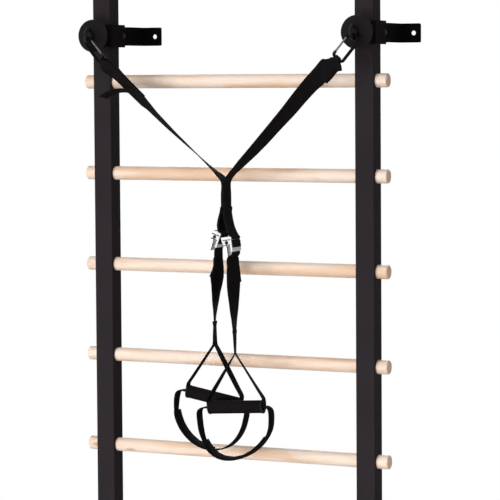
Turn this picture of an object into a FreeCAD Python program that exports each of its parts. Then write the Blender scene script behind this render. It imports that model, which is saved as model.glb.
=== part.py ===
import FreeCAD, Part
import math
import os

# Wall bars with a hanging strap trainer, in millimetres.
# Origin: centre of the wall bolts, on the wall. +X right, +Y into the wall, +Z up.

Vec = FreeCAD.Vector
X_AXIS = Vec(1, 0, 0)
Y_AXIS = Vec(0, 1, 0)
Z_AXIS = Vec(0, 0, 1)

SIZES = [
    # uprights: square steel tube
    ("tube_side", 50.0), ("tube_wall", 2.0), ("tube_corner", 3.0), ("tube_length", 2200.0),
    ("upright_spacing", 725.0), ("wall_gap", 135.0), ("cap_flange", 3.0), ("cap_plug", 16.0),
    ("cap_clearance", 0.15),
    # rungs: turned beech
    ("rung_diameter", 35.0), ("rung_length", 834.0), ("rung_pitch", 235.0),
    ("first_rung", 160.0), ("top_margin", 120.0), ("rung_clearance", 0.25), ("rung_chamfer", 2.0),
    ("screw_diameter", 4.0), ("screw_depth", 38.0), ("screw_head", 9.0), ("screw_head_height", 2.6),
    ("screw_clearance", 0.15),
    # wall brackets: clamp collar and two bent arms
    ("bracket_foot", 277.5), ("bracket_spacing", 1410.0), ("strip", 3.0), ("seat_gap", 0.2),
    ("arm_height", 48.0), ("arm_lap", 40.0), ("arm_bend", 4.0), ("flange_reach", 80.0),
    ("flange_corner", 4.0), ("wall_hole_offset", 61.0), ("wall_hole", 12.0),
    ("collar_height", 58.0), ("collar_tail", 20.0), ("collar_bend", 3.0),
    ("bolt_diameter", 8.0), ("bolt_setback", 10.0), ("bolt_clearance", 0.3),
    ("bolt_head", 14.0), ("bolt_head_height", 4.4), ("nut_width", 13.0), ("nut_height", 6.5),
    ("bolt_spare", 5.0),
    # horn and eye bolt
    ("horn_diameter", 32.0), ("horn_wall", 3.0), ("horn_length", 39.8), ("disc_diameter", 83.0),
    ("disc_rim", 5.5), ("disc_crown", 1.5), ("disc_round", 1.2), ("eye_reach", 21.0),
    ("eye_ring_radius", 16.0), ("eye_rod", 8.0), ("eye_collar", 14.0), ("eye_shank", 31.0),
    # carabiners
    ("hook_rod", 8.0), ("hook_length", 80.0), ("hook_top_radius", 15.0), ("hook_base", 30.0),
    ("hook_corner", 7.0), ("nose_length", 2.0), ("hinge_stub", 4.0), ("gate_diameter", 5.0),
    ("gate_tang", 3.0), ("gate_slot", 3.5), ("gate_pin", 2.4), ("gate_gap", 0.4), ("gate_lift", 1.9),
    ("pin_clearance", 0.05), ("hook_tilt_right", 40.5), ("hook_turn_right", 0.0),
    ("hook_play_right", 0.9), ("hook_tilt_left", 40.0), ("hook_turn_left", 32.0),
    ("hook_play_left", 2.0),
    # webbing
    ("webbing", 2.5), ("strap_width", 46.0), ("strap_eye_width", 14.0), ("strap_eye_gap", 0.3),
    ("yoke_core", 2.5), ("yoke_x", 21.5), ("yoke_top", 346.0), ("yoke_seam", 268.0),
    ("sewn_length", 72.0), ("handle_width", 22.0), ("tail_width", 42.0), ("tail_drop", 15.0),
    ("tail_gap", 1.0), ("lip_clearance", 0.4), ("seam_gap", 0.2),
    ("handle_webbing", 2.2),
    # cam buckles
    ("buckle_left_x", 16.0), ("buckle_left_z", 208.0), ("buckle_left_tilt", 20.0),
    ("buckle_right_x", 44.5), ("buckle_right_z", 200.5), ("buckle_right_tilt", -8.0),
    ("lever_left_lean", -5.0), ("lever_right_lean", 0.0), ("buckle_inside", 48.0),
    ("cheek", 2.0), ("buckle_bar", 4.0), ("base_plate", 2.0), ("base_length", 34.0),
    ("cheek_depth", 25.0), ("cheek_drop", 17.5), ("rail", 3.5), ("rail_out", 1.2),
    ("cam_x", 12.0), ("cam_z", 10.0), ("cam_radius", 8.0), ("cam_pin", 4.0),
    ("lever_width", 45.0), ("tongue_width", 37.0), ("lever_plate", 2.0), ("lever_reach", 37.0),
    # handles and foot loops
    ("leg_offset", 25.0), ("grip_left_x", -27.6), ("grip_left_z", -206.0),
    ("grip_left_tilt", 10.0), ("grip_right_x", 57.6), ("grip_right_z", -218.3),
    ("grip_right_tilt", -3.8), ("apex_left_height", 134.0), ("apex_right_height", 131.6),
    ("apex_left_x", -19.7), ("apex_right_x", 6.3), ("corner_x", 75.6), ("knee_z", 17.5),
    ("corner_radius", 2.5), ("knee_radius", 9.0), ("apex_radius", 3.0), ("grip_length", 141.0),
    ("grip_diameter", 32.0), ("core_bore", 23.0), ("core_wall", 1.5), ("end_ring", 3.0),
    ("end_ring_diameter", 34.0), ("grip_clearance", 0.1), ("loop_width", 22.0),
    ("loop_thickness", 3.0), ("loop_drop", 131.0), ("loop_shoulder", 14.0), ("loop_level", 30.0),
    ("loop_left_run_left", 10.0), ("loop_left_run_right", 4.0), ("loop_right_run_left", 12.0),
    ("loop_right_run_right", 2.0), ("loop_skew_left", 9.0), ("loop_skew_right", -20.0),
    ("pad_width", 38.0), ("pad_thickness", 9.0), ("pad_clearance", 0.3), ("pad_left_angle", 82.0),
    ("pad_right_angle", 122.0), ("pad_left_middle_angle", 55.0), ("pad_right_middle_angle", 92.0),
]

# as many rungs as fit below the top margin
RUNG_COUNT = "=floor((tube_length - first_rung - top_margin) / rung_pitch) + 1"

doc = FreeCAD.newDocument("WallBars")
sheet = doc.addObject("Spreadsheet::Sheet", "Sizes")
for row, (alias, number) in enumerate(SIZES, start=1):
    sheet.set("A%d" % row, alias)
    sheet.set("B%d" % row, str(number))
    sheet.setAlias("B%d" % row, alias)
doc.recompute()
sheet.set("B%d" % (len(SIZES) + 1), RUNG_COUNT)
sheet.setAlias("B%d" % (len(SIZES) + 1), "rung_count")
doc.recompute()

pieces = []


def size(alias):
    return float(sheet.get(alias))


def cells(text):
    """Prefixes every alias in an expression with the sheet's name."""
    words = [alias for alias, _ in SIZES] + ["rung_count"]
    out = []
    for word in text.split(" "):
        out.append("Sizes." + word if word in words else word)
    return " ".join(out)


# ---------------------------------------------------------------- modelling helpers


def new_body(label):
    body = doc.addObject("PartDesign::Body", label)
    body.Label = label
    pieces.append(body)
    return body


def new_solid(label, shape, placement=None):
    part = doc.addObject("Part::Feature", label)
    part.Label = label
    part.Shape = shape
    if placement is not None:
        part.Placement = placement.multiply(shape.Placement)
    pieces.append(part)
    return part


def new_sketch(body, name, role):
    sketch = body.newObject("Sketcher::SketchObject", name)
    plane = [f for f in body.Origin.OriginFeatures if f.Role == role][0]
    sketch.AttachmentSupport = (plane, [""])
    sketch.MapMode = "FlatFace"
    return sketch


def named(sketch, name, kind, *references):
    """A dimension of a sketch, bound to an expression by its name."""
    index = sketch.addConstraint(_sketcher_constraint(kind, *references))
    sketch.renameConstraint(index, name)
    return index


def _sketcher_constraint(kind, *references):
    import Sketcher
    return Sketcher.Constraint(kind, *references)


def circle(sketch, name, across, at_x="0", at_y="0"):
    """A circle with its diameter and centre bound to the sheet."""
    index = sketch.addGeometry(Part.Circle(Vec(1, 1, 0), Z_AXIS, 2.0), False)
    named(sketch, name + "_across", "Diameter", index, 4.0)
    named(sketch, name + "_x", "DistanceX", -1, 1, index, 3, 1.0)
    named(sketch, name + "_y", "DistanceY", -1, 1, index, 3, 1.0)
    sketch.setExpression("Constraints.%s_across" % name, cells(across))
    sketch.setExpression("Constraints.%s_x" % name, cells(at_x))
    sketch.setExpression("Constraints.%s_y" % name, cells(at_y))


def centred_square(sketch, name, side):
    """A square about the sketch's origin, its side bound to the sheet."""
    corners = [Vec(-9, -9, 0), Vec(9, -9, 0), Vec(9, 9, 0), Vec(-9, 9, 0)]
    first = sketch.GeometryCount
    for here, there in zip(corners, corners[1:] + corners[:1]):
        sketch.addGeometry(Part.LineSegment(here, there), False)
    bottom, right, top, left = range(first, first + 4)
    for one, other in ((bottom, right), (right, top), (top, left), (left, bottom)):
        sketch.addConstraint(_sketcher_constraint("Coincident", one, 2, other, 1))
    for line in (bottom, top):
        sketch.addConstraint(_sketcher_constraint("Horizontal", line))
    for line in (right, left):
        sketch.addConstraint(_sketcher_constraint("Vertical", line))
    sketch.addConstraint(_sketcher_constraint("Symmetric", bottom, 1, top, 1, -1, 1))
    named(sketch, name + "_x", "DistanceX", bottom, 1, bottom, 2, 18.0)
    named(sketch, name + "_y", "DistanceY", right, 1, right, 2, 18.0)
    sketch.setExpression("Constraints.%s_x" % name, cells(side))
    sketch.setExpression("Constraints.%s_y" % name, cells(side))


def outline(sketch, edges):
    """Adds the edges of a closed profile to a sketch."""
    for edge in edges:
        sketch.addGeometry(edge, False)


def pad(body, name, sketch, length, symmetric=False, backwards=False):
    feature = body.newObject("PartDesign::Pad", name)
    feature.Profile = sketch
    feature.setExpression("Length", cells(length))
    if symmetric:
        feature.SideType = "Symmetric"
    feature.Reversed = backwards
    return feature


def pocket(body, name, sketch, length=None, symmetric=False, backwards=False):
    feature = body.newObject("PartDesign::Pocket", name)
    feature.Profile = sketch
    if length is None:
        feature.Type = "ThroughAll"
    else:
        feature.setExpression("Length", cells(length))
    if symmetric:
        feature.SideType = "Symmetric"
    feature.Reversed = backwards
    return feature


def row_along(body, name, feature, role, count, step):
    """Repeats a feature along one of the body's axes."""
    pattern = body.newObject("PartDesign::LinearPattern", name)
    pattern.Originals = [feature]
    axis = [f for f in body.Origin.OriginFeatures if f.Role == role][0]
    pattern.Direction = (axis, [""])
    pattern.Mode = "Spacing"
    pattern.setExpression("Occurrences", cells(count))
    pattern.setExpression("Offset", cells(step))
    body.Tip = pattern
    return pattern


def upright_edges(shape):
    """Names of the straight edges of a shape that stand along Z."""
    names = []
    for index, edge in enumerate(shape.Edges, start=1):
        if edge.Curve.TypeId == "Part::GeomLine" and abs(edge.tangentAt(0).z) > 0.99:
            names.append("Edge%d" % index)
    return names


def round_edges(body, name, feature, edges, radius, kind="Fillet"):
    dressing = body.newObject("PartDesign::" + kind, name)
    dressing.Base = (feature, edges)
    dressing.setExpression("Radius" if kind == "Fillet" else "Size", cells(radius))
    return dressing


def turn(degrees, axis=Y_AXIS):
    return FreeCAD.Rotation(axis, degrees)


def place(x=0.0, y=0.0, z=0.0, rotation=None):
    return FreeCAD.Placement(Vec(x, y, z), rotation or FreeCAD.Rotation())


def frame_rotation(x_dir, z_dir):
    """Rotation whose local X and Z axes lie along the two directions."""
    y_dir = z_dir.cross(x_dir)
    return FreeCAD.Rotation(x_dir, y_dir, z_dir, "XYZ")


def line(a, b):
    return Part.LineSegment(a, b).toShape()


def arc(centre, radius, start, end, normal=Y_AXIS):
    """Arc in the XZ plane, angles in degrees from +X towards +Z."""
    points = []
    for degrees in (start, (start + end) / 2, end):
        t = math.radians(degrees)
        points.append(centre + Vec(radius * math.cos(t), 0, radius * math.sin(t)))
    return Part.Arc(*points).toShape()


def rod(start, end, diameter):
    axis = end - start
    return Part.makeCylinder(diameter / 2, axis.Length, start, axis)


def hexagon(width, height, base, axis):
    """Hexagonal prism, width across the flats."""
    corner = width / math.sqrt(3)
    points = [Vec(corner * math.cos(k * math.pi / 3), corner * math.sin(k * math.pi / 3), 0)
              for k in range(7)]
    prism = Part.Face(Part.makePolygon(points)).extrude(Vec(0, 0, height))
    prism.Placement = FreeCAD.Placement(base, FreeCAD.Rotation(Z_AXIS, axis))
    return prism


def rounded_polygon(points, radii):
    """Closed wire in the XZ plane with each corner rounded to its radius."""
    count = len(points)
    cuts = []
    for k in range(count):
        corner, before, after = points[k], points[k - 1], points[(k + 1) % count]
        to_before = (before - corner).normalize()
        to_after = (after - corner).normalize()
        half = to_before.getAngle(to_after) / 2
        reach = radii[k] / math.tan(half)
        middle = (to_before + to_after).normalize()
        peak = corner + middle * (radii[k] / math.sin(half) - radii[k])
        cuts.append((corner + to_before * reach, peak, corner + to_after * reach))
    edges = []
    for k in range(count):
        enter, peak, leave = cuts[k]
        edges.append(Part.Arc(enter, peak, leave).toShape())
        edges.append(line(leave, cuts[(k + 1) % count][0]))
    return Part.Wire(edges)


def closed_band(wire, thickness, width):
    """Band of webbing on edge: a closed wire, thickened and drawn out along Y."""
    outer = Part.Face(wire.makeOffset2D(thickness / 2)).extrude(Vec(0, width, 0))
    inner = Part.Face(wire.makeOffset2D(-thickness / 2)).extrude(Vec(0, width, 0))
    band = outer.cut(inner)
    band.translate(Vec(0, -width / 2, 0))
    return band


def ribbon(stations, thickness):
    """Flat strap through stations of (point, direction, width, turn in degrees).

    At turn 0 the strap lies flat in the XZ plane; at 90 its width runs along Y.
    """
    sections = []
    for point, direction, width, degrees in stations:
        along = Vec(direction).normalize()
        flat = along.cross(Y_AXIS).normalize()
        t = math.radians(degrees)
        across = flat * math.cos(t) + Y_AXIS * math.sin(t)
        through = along.cross(across).normalize()
        a, b = across * (width / 2), through * (thickness / 2)
        corners = [point - a - b, point + a - b, point + a + b, point - a + b]
        sections.append(Part.makePolygon(corners + corners[:1]))
    return Part.makeLoft(sections, True, True)


def bowed(start, end, share, rise=0.0):
    """Point at a share of a chord, moved aside in the XZ plane by a share of its length."""
    chord = end - start
    aside = chord.cross(Y_AXIS).normalize()
    return start + chord * share + aside * (rise * chord.Length)


def centre_directions(points):
    """Direction of a run of points at each of them."""
    out = []
    for k in range(len(points)):
        before, after = points[max(k - 1, 0)], points[min(k + 1, len(points) - 1)]
        out.append((after - before).normalize())
    return out


# ---------------------------------------------------------------- places worked out from the sizes

tube_half = size("tube_side") / 2
upright_x = size("upright_spacing") / 2
tube_back = -size("wall_gap")
tube_axis = tube_back - tube_half
tube_front = tube_back - size("tube_side")
tube_foot = -size("bracket_foot") - size("bracket_spacing") / 2
bracket_levels = {"lower": -size("bracket_spacing") / 2, "upper": size("bracket_spacing") / 2}
sides = {"left": -1, "right": 1}
rung_levels = [tube_foot + size("first_rung") + k * size("rung_pitch")
               for k in range(int(size("rung_count")))]
collar_front = tube_front - size("seat_gap") - size("strip")
disc_back = collar_front - size("horn_length")
disc_face = disc_back - size("disc_rim") - size("disc_crown")
eye_y = disc_face - size("eye_reach")
eye_z = bracket_levels["upper"]
bolt_y = tube_back + size("bolt_setback")
arm_outside = tube_half + size("seat_gap") + size("strip")
collar_outside = arm_outside + size("seat_gap") + size("strip")


# ---------------------------------------------------------------- uprights, caps, rungs, screws


def make_upright(side):
    body = new_body("upright_" + side)
    outside = new_sketch(body, "TubeOutside_" + side, "XY_Plane")
    centred_square(outside, "side", "tube_side")
    blank = pad(body, "TubeBlank_" + side, outside, "tube_length")
    doc.recompute()
    rounded = round_edges(body, "TubeCorners_" + side, blank, upright_edges(blank.Shape),
                          "tube_corner")
    inside = new_sketch(body, "TubeInside_" + side, "XY_Plane")
    centred_square(inside, "side", "tube_side - 2 * tube_wall")
    pocket(body, "TubeBore_" + side, inside, backwards=True)
    holes = new_sketch(body, "RungHole_" + side, "YZ_Plane")
    circle(holes, "rung", "rung_diameter + 2 * rung_clearance", at_y="first_rung")
    hole = pocket(body, "RungHoleCut_" + side, holes, symmetric=True)
    row_along(body, "RungHoles_" + side, hole, "Z_Axis", "rung_count", "rung_pitch")
    screws = new_sketch(body, "ScrewHole_" + side, "XZ_Plane")
    circle(screws, "screw", "screw_diameter + 2 * screw_clearance", at_y="first_rung")
    hole = pocket(body, "ScrewHoleCut_" + side, screws, backwards=False)
    row_along(body, "ScrewHoles_" + side, hole, "Z_Axis", "rung_count", "rung_pitch")
    body.Placement = place(sides[side] * upright_x, tube_axis, tube_foot)
    return rounded


def make_cap(side, end):
    label = "%s_cap_%s" % (end, side)
    body = new_body(label)
    flange = new_sketch(body, "Flange_" + label, "XY_Plane")
    centred_square(flange, "side", "tube_side")
    plate = pad(body, "FlangePad_" + label, flange, "cap_flange")
    plug = new_sketch(body, "Plug_" + label, "XY_Plane")
    centred_square(plug, "side", "tube_side - 2 * tube_wall - 2 * cap_clearance")
    pad(body, "PlugPad_" + label, plug, "cap_plug", backwards=True)
    hollow = new_sketch(body, "Hollow_" + label, "XY_Plane")
    centred_square(hollow, "side", "tube_side - 4 * tube_wall - 2 * cap_clearance")
    bore = pocket(body, "HollowCut_" + label, hollow, "cap_plug")
    doc.recompute()
    corners = [e for e in upright_edges(bore.Shape)
               if abs(abs(bore.Shape.getElement(e).CenterOfMass.x) - tube_half) < 0.01]
    round_edges(body, "Corners_" + label, bore, corners, "tube_corner")
    top = tube_foot + size("tube_length")
    if end == "top":
        body.Placement = place(sides[side] * upright_x, tube_axis, top)
    else:
        body.Placement = place(sides[side] * upright_x, tube_axis, tube_foot, turn(180))
    return plate


def make_rung(number, level):
    label = "rung_%d" % number
    body = new_body(label)
    end = new_sketch(body, "End_" + label, "YZ_Plane")
    circle(end, "bar", "rung_diameter")
    bar = pad(body, "Bar_" + label, end, "rung_length", symmetric=True)
    doc.recompute()
    rims = ["Edge%d" % k for k, e in enumerate(bar.Shape.Edges, start=1)
            if e.Curve.TypeId == "Part::GeomCircle"]
    round_edges(body, "Rims_" + label, bar, rims, "rung_chamfer", kind="Chamfer")
    pilot = new_sketch(body, "Pilot_" + label, "XZ_Plane")
    circle(pilot, "left", "screw_diameter + 2 * pin_clearance", at_x="0 - upright_spacing / 2")
    circle(pilot, "right", "screw_diameter + 2 * pin_clearance", at_x="upright_spacing / 2")
    pocket(body, "PilotCut_" + label, pilot, "rung_diameter / 2", backwards=False)
    body.Placement = place(0, tube_axis, level)


def make_screws():
    """Round-headed screws from the back of the tube into every rung end."""
    screws = []
    for sign in sides.values():
        for level in rung_levels:
            seat = Vec(sign * upright_x, tube_back, level)
            shank = rod(seat, seat - Y_AXIS * size("screw_depth") / 2, size("screw_diameter"))
            head = Part.makeCone(size("screw_head") / 2, size("screw_head") / 4,
                                 size("screw_head_height"), seat, Y_AXIS)
            screws.append(head.fuse(shank))
    new_solid("rung_screws", Part.makeCompound(screws))


# ---------------------------------------------------------------- wall brackets


def arm_profile(body, name):
    """Bent strip: along the tube's side from the front, then out along the wall."""
    inner, outer = arm_outside - size("strip"), arm_outside
    front = tube_back - size("arm_lap")
    small = size("arm_bend")
    large = small + size("strip")
    hub = Vec(outer + small, -size("strip") - small, 0)
    reach = size("flange_reach")
    slant = math.sqrt(0.5)
    corner_in = [Vec(outer, hub.y, 0), hub + Vec(-small * slant, small * slant, 0),
                 Vec(hub.x, -size("strip"), 0)]
    corner_out = [Vec(hub.x, 0, 0), hub + Vec(-large * slant, large * slant, 0),
                  Vec(inner, hub.y, 0)]
    sketch = new_sketch(body, name, "XY_Plane")
    outline(sketch, [
        Part.LineSegment(Vec(inner, front, 0), Vec(outer, front, 0)),
        Part.LineSegment(Vec(outer, front, 0), corner_in[0]),
        Part.Arc(*corner_in),
        Part.LineSegment(corner_in[2], Vec(reach, -size("strip"), 0)),
        Part.LineSegment(Vec(reach, -size("strip"), 0), Vec(reach, 0, 0)),
        Part.LineSegment(Vec(reach, 0, 0), corner_out[0]),
        Part.Arc(*corner_out),
        Part.LineSegment(corner_out[2], Vec(inner, front, 0)),
    ])
    return sketch


def make_arm(side, level, reach):
    label = "wall_arm_%s_%s_%s" % (level, side, reach)
    body = new_body(label)
    strip = pad(body, "Strip_" + label, arm_profile(body, "Profile_" + label), "arm_height",
                symmetric=True)
    doc.recompute()
    corners = ["Edge%d" % k for k, e in enumerate(strip.Shape.Edges, start=1)
               if abs(e.CenterOfMass.x - size("flange_reach")) < 0.01
               and e.Length < size("strip") + 0.1]
    round_edges(body, "Corners_" + label, strip, corners, "flange_corner")
    wall = new_sketch(body, "WallHole_" + label, "XZ_Plane")
    circle(wall, "wall", "wall_hole", at_x="wall_hole_offset")
    pocket(body, "WallHoleCut_" + label, wall, symmetric=True)
    clamp = new_sketch(body, "BoltHole_" + label, "YZ_Plane")
    circle(clamp, "bolt", "bolt_diameter + 2 * bolt_clearance", at_x="bolt_setback - wall_gap")
    pocket(body, "BoltHoleCut_" + label, clamp, symmetric=True)
    outwards = sides[side] if reach == "outer" else -sides[side]
    rotation = turn(0) if outwards > 0 else turn(180)
    body.Placement = place(sides[side] * upright_x, 0, bracket_levels[level], rotation)


def collar_profile(body, name):
    """Channel round the front of the tube, open at the wall."""
    outer = collar_outside
    inner = outer - size("strip")
    rear = tube_back + size("collar_tail")
    small = size("collar_bend")
    large = small + size("strip")
    hub = Vec(inner - small, collar_front + large, 0)
    slant = math.sqrt(0.5)

    def bend(radius, sign):
        centre = Vec(sign * hub.x, hub.y, 0)
        return [centre + Vec(sign * radius, 0, 0),
                centre + Vec(sign * radius * slant, -radius * slant, 0),
                centre + Vec(0, -radius, 0)]

    outer_right, outer_left = bend(large, 1), bend(large, -1)
    inner_right, inner_left = bend(small, 1), bend(small, -1)
    sketch = new_sketch(body, name, "XY_Plane")
    outline(sketch, [
        Part.LineSegment(Vec(outer, rear, 0), outer_right[0]),
        Part.Arc(*outer_right),
        Part.LineSegment(outer_right[2], outer_left[2]),
        Part.Arc(*reversed(outer_left)),
        Part.LineSegment(outer_left[0], Vec(-outer, rear, 0)),
        Part.LineSegment(Vec(-outer, rear, 0), Vec(-inner, rear, 0)),
        Part.LineSegment(Vec(-inner, rear, 0), inner_left[0]),
        Part.Arc(*inner_left),
        Part.LineSegment(inner_left[2], inner_right[2]),
        Part.Arc(*reversed(inner_right)),
        Part.LineSegment(inner_right[0], Vec(inner, rear, 0)),
        Part.LineSegment(Vec(inner, rear, 0), Vec(outer, rear, 0)),
    ])
    return sketch


def make_collar(side, level):
    label = "clamp_collar_%s_%s" % (level, side)
    body = new_body(label)
    pad(body, "Channel_" + label, collar_profile(body, "Profile_" + label), "collar_height",
        symmetric=True)
    clamp = new_sketch(body, "BoltHole_" + label, "YZ_Plane")
    circle(clamp, "bolt", "bolt_diameter + 2 * bolt_clearance", at_x="bolt_setback - wall_gap")
    pocket(body, "BoltHoleCut_" + label, clamp, symmetric=True)
    body.Placement = place(sides[side] * upright_x, 0, bracket_levels[level])


def bolt_places():
    return [Vec(sign * upright_x, bolt_y, level)
            for sign in sides.values() for level in bracket_levels.values()]


def make_clamp_bolts():
    """Button-headed bolts through both legs of each collar and both arms."""
    bolts = []
    for centre in bolt_places():
        seat = centre + X_AXIS * collar_outside
        end = centre - X_AXIS * (collar_outside + size("nut_height") + size("bolt_spare"))
        head = Part.makeCone(size("bolt_head") / 2, size("bolt_head") / 3,
                             size("bolt_head_height"), seat, X_AXIS)
        bolts.append(head.fuse(rod(seat, end, size("bolt_diameter"))))
    new_solid("clamp_bolts", Part.makeCompound(bolts))


def make_nuts():
    """Nuts of the clamp bolts, and of the eye bolts inside the horns."""
    nuts = []
    bore = size("bolt_diameter") + 2 * size("pin_clearance")
    for centre in bolt_places():
        seat = centre - X_AXIS * collar_outside
        blank = hexagon(size("nut_width"), size("nut_height"), seat, X_AXIS * -1)
        nuts.append(blank.cut(rod(seat, seat - X_AXIS * 2 * size("nut_height"), bore)))
    for sign in sides.values():
        seat = Vec(sign * upright_x, disc_back, eye_z)
        blank = hexagon(size("nut_width"), size("nut_height"), seat, Y_AXIS)
        nuts.append(blank.cut(rod(seat, seat + Y_AXIS * 2 * size("nut_height"), bore)))
    new_solid("hex_nuts", Part.makeCompound(nuts))


def make_horn(side):
    """Tube with a crowned stop disc, turned in one profile about its axis."""
    label = "horn_disc_" + side
    body = new_body(label)
    sketch = new_sketch(body, "Profile_" + label, "XY_Plane")
    outer, inner = size("horn_diameter") / 2, size("horn_diameter") / 2 - size("horn_wall")
    bore = size("eye_rod") / 2 + size("bolt_clearance")
    rim = size("disc_diameter") / 2
    back, edge = -size("horn_length"), -size("horn_length") - size("disc_rim")
    front, soft = edge - size("disc_crown"), size("disc_round")
    points = [Vec(inner, 0, 0), Vec(outer, 0, 0), Vec(outer, back, 0), Vec(rim - soft, back, 0),
              Vec(rim, back - soft, 0), Vec(rim, edge + soft, 0), Vec(rim - soft, edge, 0),
              Vec(bore, front, 0), Vec(bore, back, 0), Vec(inner, back, 0)]
    outline(sketch, [Part.LineSegment(a, b) for a, b in zip(points, points[1:] + points[:1])])
    turned = body.newObject("PartDesign::Revolution", "Turned_" + label)
    turned.Profile = sketch
    turned.ReferenceAxis = ([f for f in body.Origin.OriginFeatures if f.Role == "Y_Axis"][0], [""])
    turned.Angle = 360
    body.Placement = place(sides[side] * upright_x, collar_front, eye_z)


def make_eye_bolt(side):
    """Ring on a shank: the ring stands in the YZ plane in front of the disc."""
    label = "eye_bolt_" + side
    ring = doc.addObject("Part::Torus", "Ring_" + label)
    ring.setExpression("Radius1", cells("eye_ring_radius"))
    ring.setExpression("Radius2", cells("eye_rod / 2"))
    ring.Placement = place(0, 0, 0, FreeCAD.Rotation(Y_AXIS, 90))
    shank = doc.addObject("Part::Cylinder", "Shank_" + label)
    shank.setExpression("Radius", cells("eye_rod / 2"))
    shank.setExpression("Height", cells("eye_shank + eye_reach - eye_ring_radius"))
    shank.Placement = FreeCAD.Placement(Vec(0, size("eye_ring_radius"), 0),
                                        FreeCAD.Rotation(Z_AXIS, Y_AXIS))
    shoulder = doc.addObject("Part::Cylinder", "Shoulder_" + label)
    shoulder.setExpression("Radius", cells("eye_collar / 2"))
    shoulder.Height = size("eye_reach") - size("eye_ring_radius") - size("eye_rod") / 4
    shoulder.Placement = FreeCAD.Placement(Vec(0, size("eye_reach") - shoulder.Height.Value, 0),
                                           FreeCAD.Rotation(Z_AXIS, Y_AXIS))
    joined = doc.addObject("Part::MultiFuse", label)
    joined.Shapes = [ring, shank, shoulder]
    joined.Label = label
    joined.Placement = place(sides[side] * upright_x, eye_y, eye_z)
    pieces.append(joined)


# ---------------------------------------------------------------- carabiners

hook_middle = size("hook_length") - size("hook_rod")
hook_top_z = size("nose_length")
hook_base_z = hook_top_z + size("hook_top_radius") - hook_middle
hinge_z = hook_base_z + size("hook_corner") + size("hinge_stub")


def hook_placement(side):
    """Local X runs from the gate to the spine, local Z up to the eye."""
    t = math.radians(size("hook_tilt_%s" % side))
    s = math.radians(size("hook_turn_%s" % side))
    sign = sides[side]
    up = Vec(sign * math.sin(t), 0, math.cos(t))
    flat = Vec(sign * math.cos(t), 0, -math.sin(t))
    spine = flat * math.cos(s) + Y_AXIS * math.sin(s)
    ring_low = Vec(sign * upright_x, eye_y, eye_z - size("eye_ring_radius"))
    big = size("hook_top_radius")
    pull = (spine * (big - size("hook_base") / 2) + up * (hook_top_z - hook_base_z)).normalize()
    reach = big - size("hook_rod") / 2 - size("eye_rod") / 2 - size("hook_play_%s" % side)
    base = ring_low - pull * reach - spine * big - up * hook_top_z
    return FreeCAD.Placement(base, frame_rotation(spine, up))


def hook_path(sketch):
    """Centre line: nose, big bend over the eye, spine, two corners, hinge end."""
    big, small = size("hook_top_radius"), size("hook_corner")
    top = Vec(big, hook_top_z, 0)
    low = Vec(size("hook_base") - small, hook_base_z + small, 0)
    span = low - top
    lean = math.atan2(span.y, span.x) + math.acos((big - small) / span.Length)
    out = Vec(math.cos(lean), math.sin(lean), 0)
    left = Vec(small, hook_base_z + small, 0)
    slant = math.sqrt(0.5)
    outline(sketch, [
        Part.LineSegment(Vec(0, 0, 0), Vec(0, hook_top_z, 0)),
        Part.Arc(Vec(0, hook_top_z, 0), top + Vec(0, big, 0), top + out * big),
        Part.LineSegment(top + out * big, low + out * small),
        Part.Arc(low + out * small, low + Vec(slant, -slant, 0) * small, low + Vec(0, -small, 0)),
        Part.LineSegment(low + Vec(0, -small, 0), left + Vec(0, -small, 0)),
        Part.Arc(left + Vec(0, -small, 0), left + Vec(-slant, -slant, 0) * small,
                 left + Vec(-small, 0, 0)),
        Part.LineSegment(left + Vec(-small, 0, 0), Vec(0, hinge_z, 0)),
    ])


def make_carabiner(side):
    label = "carabiner_" + side
    body = new_body(label)
    path = new_sketch(body, "Path_" + label, "XZ_Plane")
    hook_path(path)
    section = new_sketch(body, "Section_" + label, "XY_Plane")
    circle(section, "rod", "hook_rod")
    pipe = body.newObject("PartDesign::AdditivePipe", "Bent_" + label)
    pipe.Profile = section
    pipe.Spine = (path, ["Edge%d" % k for k in range(1, 8)])
    slot = new_sketch(body, "Slot_" + label, "XZ_Plane")
    half, low = size("hook_rod"), hinge_z - size("hook_rod")
    points = [Vec(-half, low, 0), Vec(half, low, 0), Vec(half, hinge_z + 1, 0),
              Vec(-half, hinge_z + 1, 0)]
    outline(slot, [Part.LineSegment(a, b) for a, b in zip(points, points[1:] + points[:1])])
    pocket(body, "SlotCut_" + label, slot, "gate_slot", symmetric=True)
    hole = new_sketch(body, "PinHole_" + label, "XZ_Plane")
    index = hole.addGeometry(Part.Circle(Vec(0, hinge_z - size("hook_rod") / 2, 0), Z_AXIS,
                                         size("gate_pin") / 2 + size("pin_clearance")), False)
    hole.addConstraint(_sketcher_constraint("Block", index))
    pocket(body, "PinHoleCut_" + label, hole, "hook_rod * 2", symmetric=True)
    body.Placement = hook_placement(side)


def make_gate(side):
    """Straight gate with a flat tang on the hinge pin and a rounded tip under the nose."""
    pivot = Vec(0, 0, hinge_z - size("hook_rod") / 2)
    across = size("gate_diameter")
    tang = Part.makeCylinder(size("hook_rod") / 2 - 0.4, size("gate_tang"),
                             pivot - Y_AXIS * size("gate_tang") / 2, Y_AXIS)
    neck = Part.makeBox(across, size("gate_tang"), size("hook_rod"),
                        pivot - Vec(across / 2, size("gate_tang") / 2, 0))
    low = Vec(0, 0, hinge_z + size("gate_lift"))
    high = Vec(0, 0, -size("gate_gap"))
    gate = tang.fuse([neck, rod(low, high, across)])
    bore = size("gate_pin") + 2 * size("pin_clearance")
    hole = rod(pivot - Y_AXIS * across, pivot + Y_AXIS * across, bore)
    new_solid("gate_" + side, gate.cut(hole), hook_placement(side))


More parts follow.
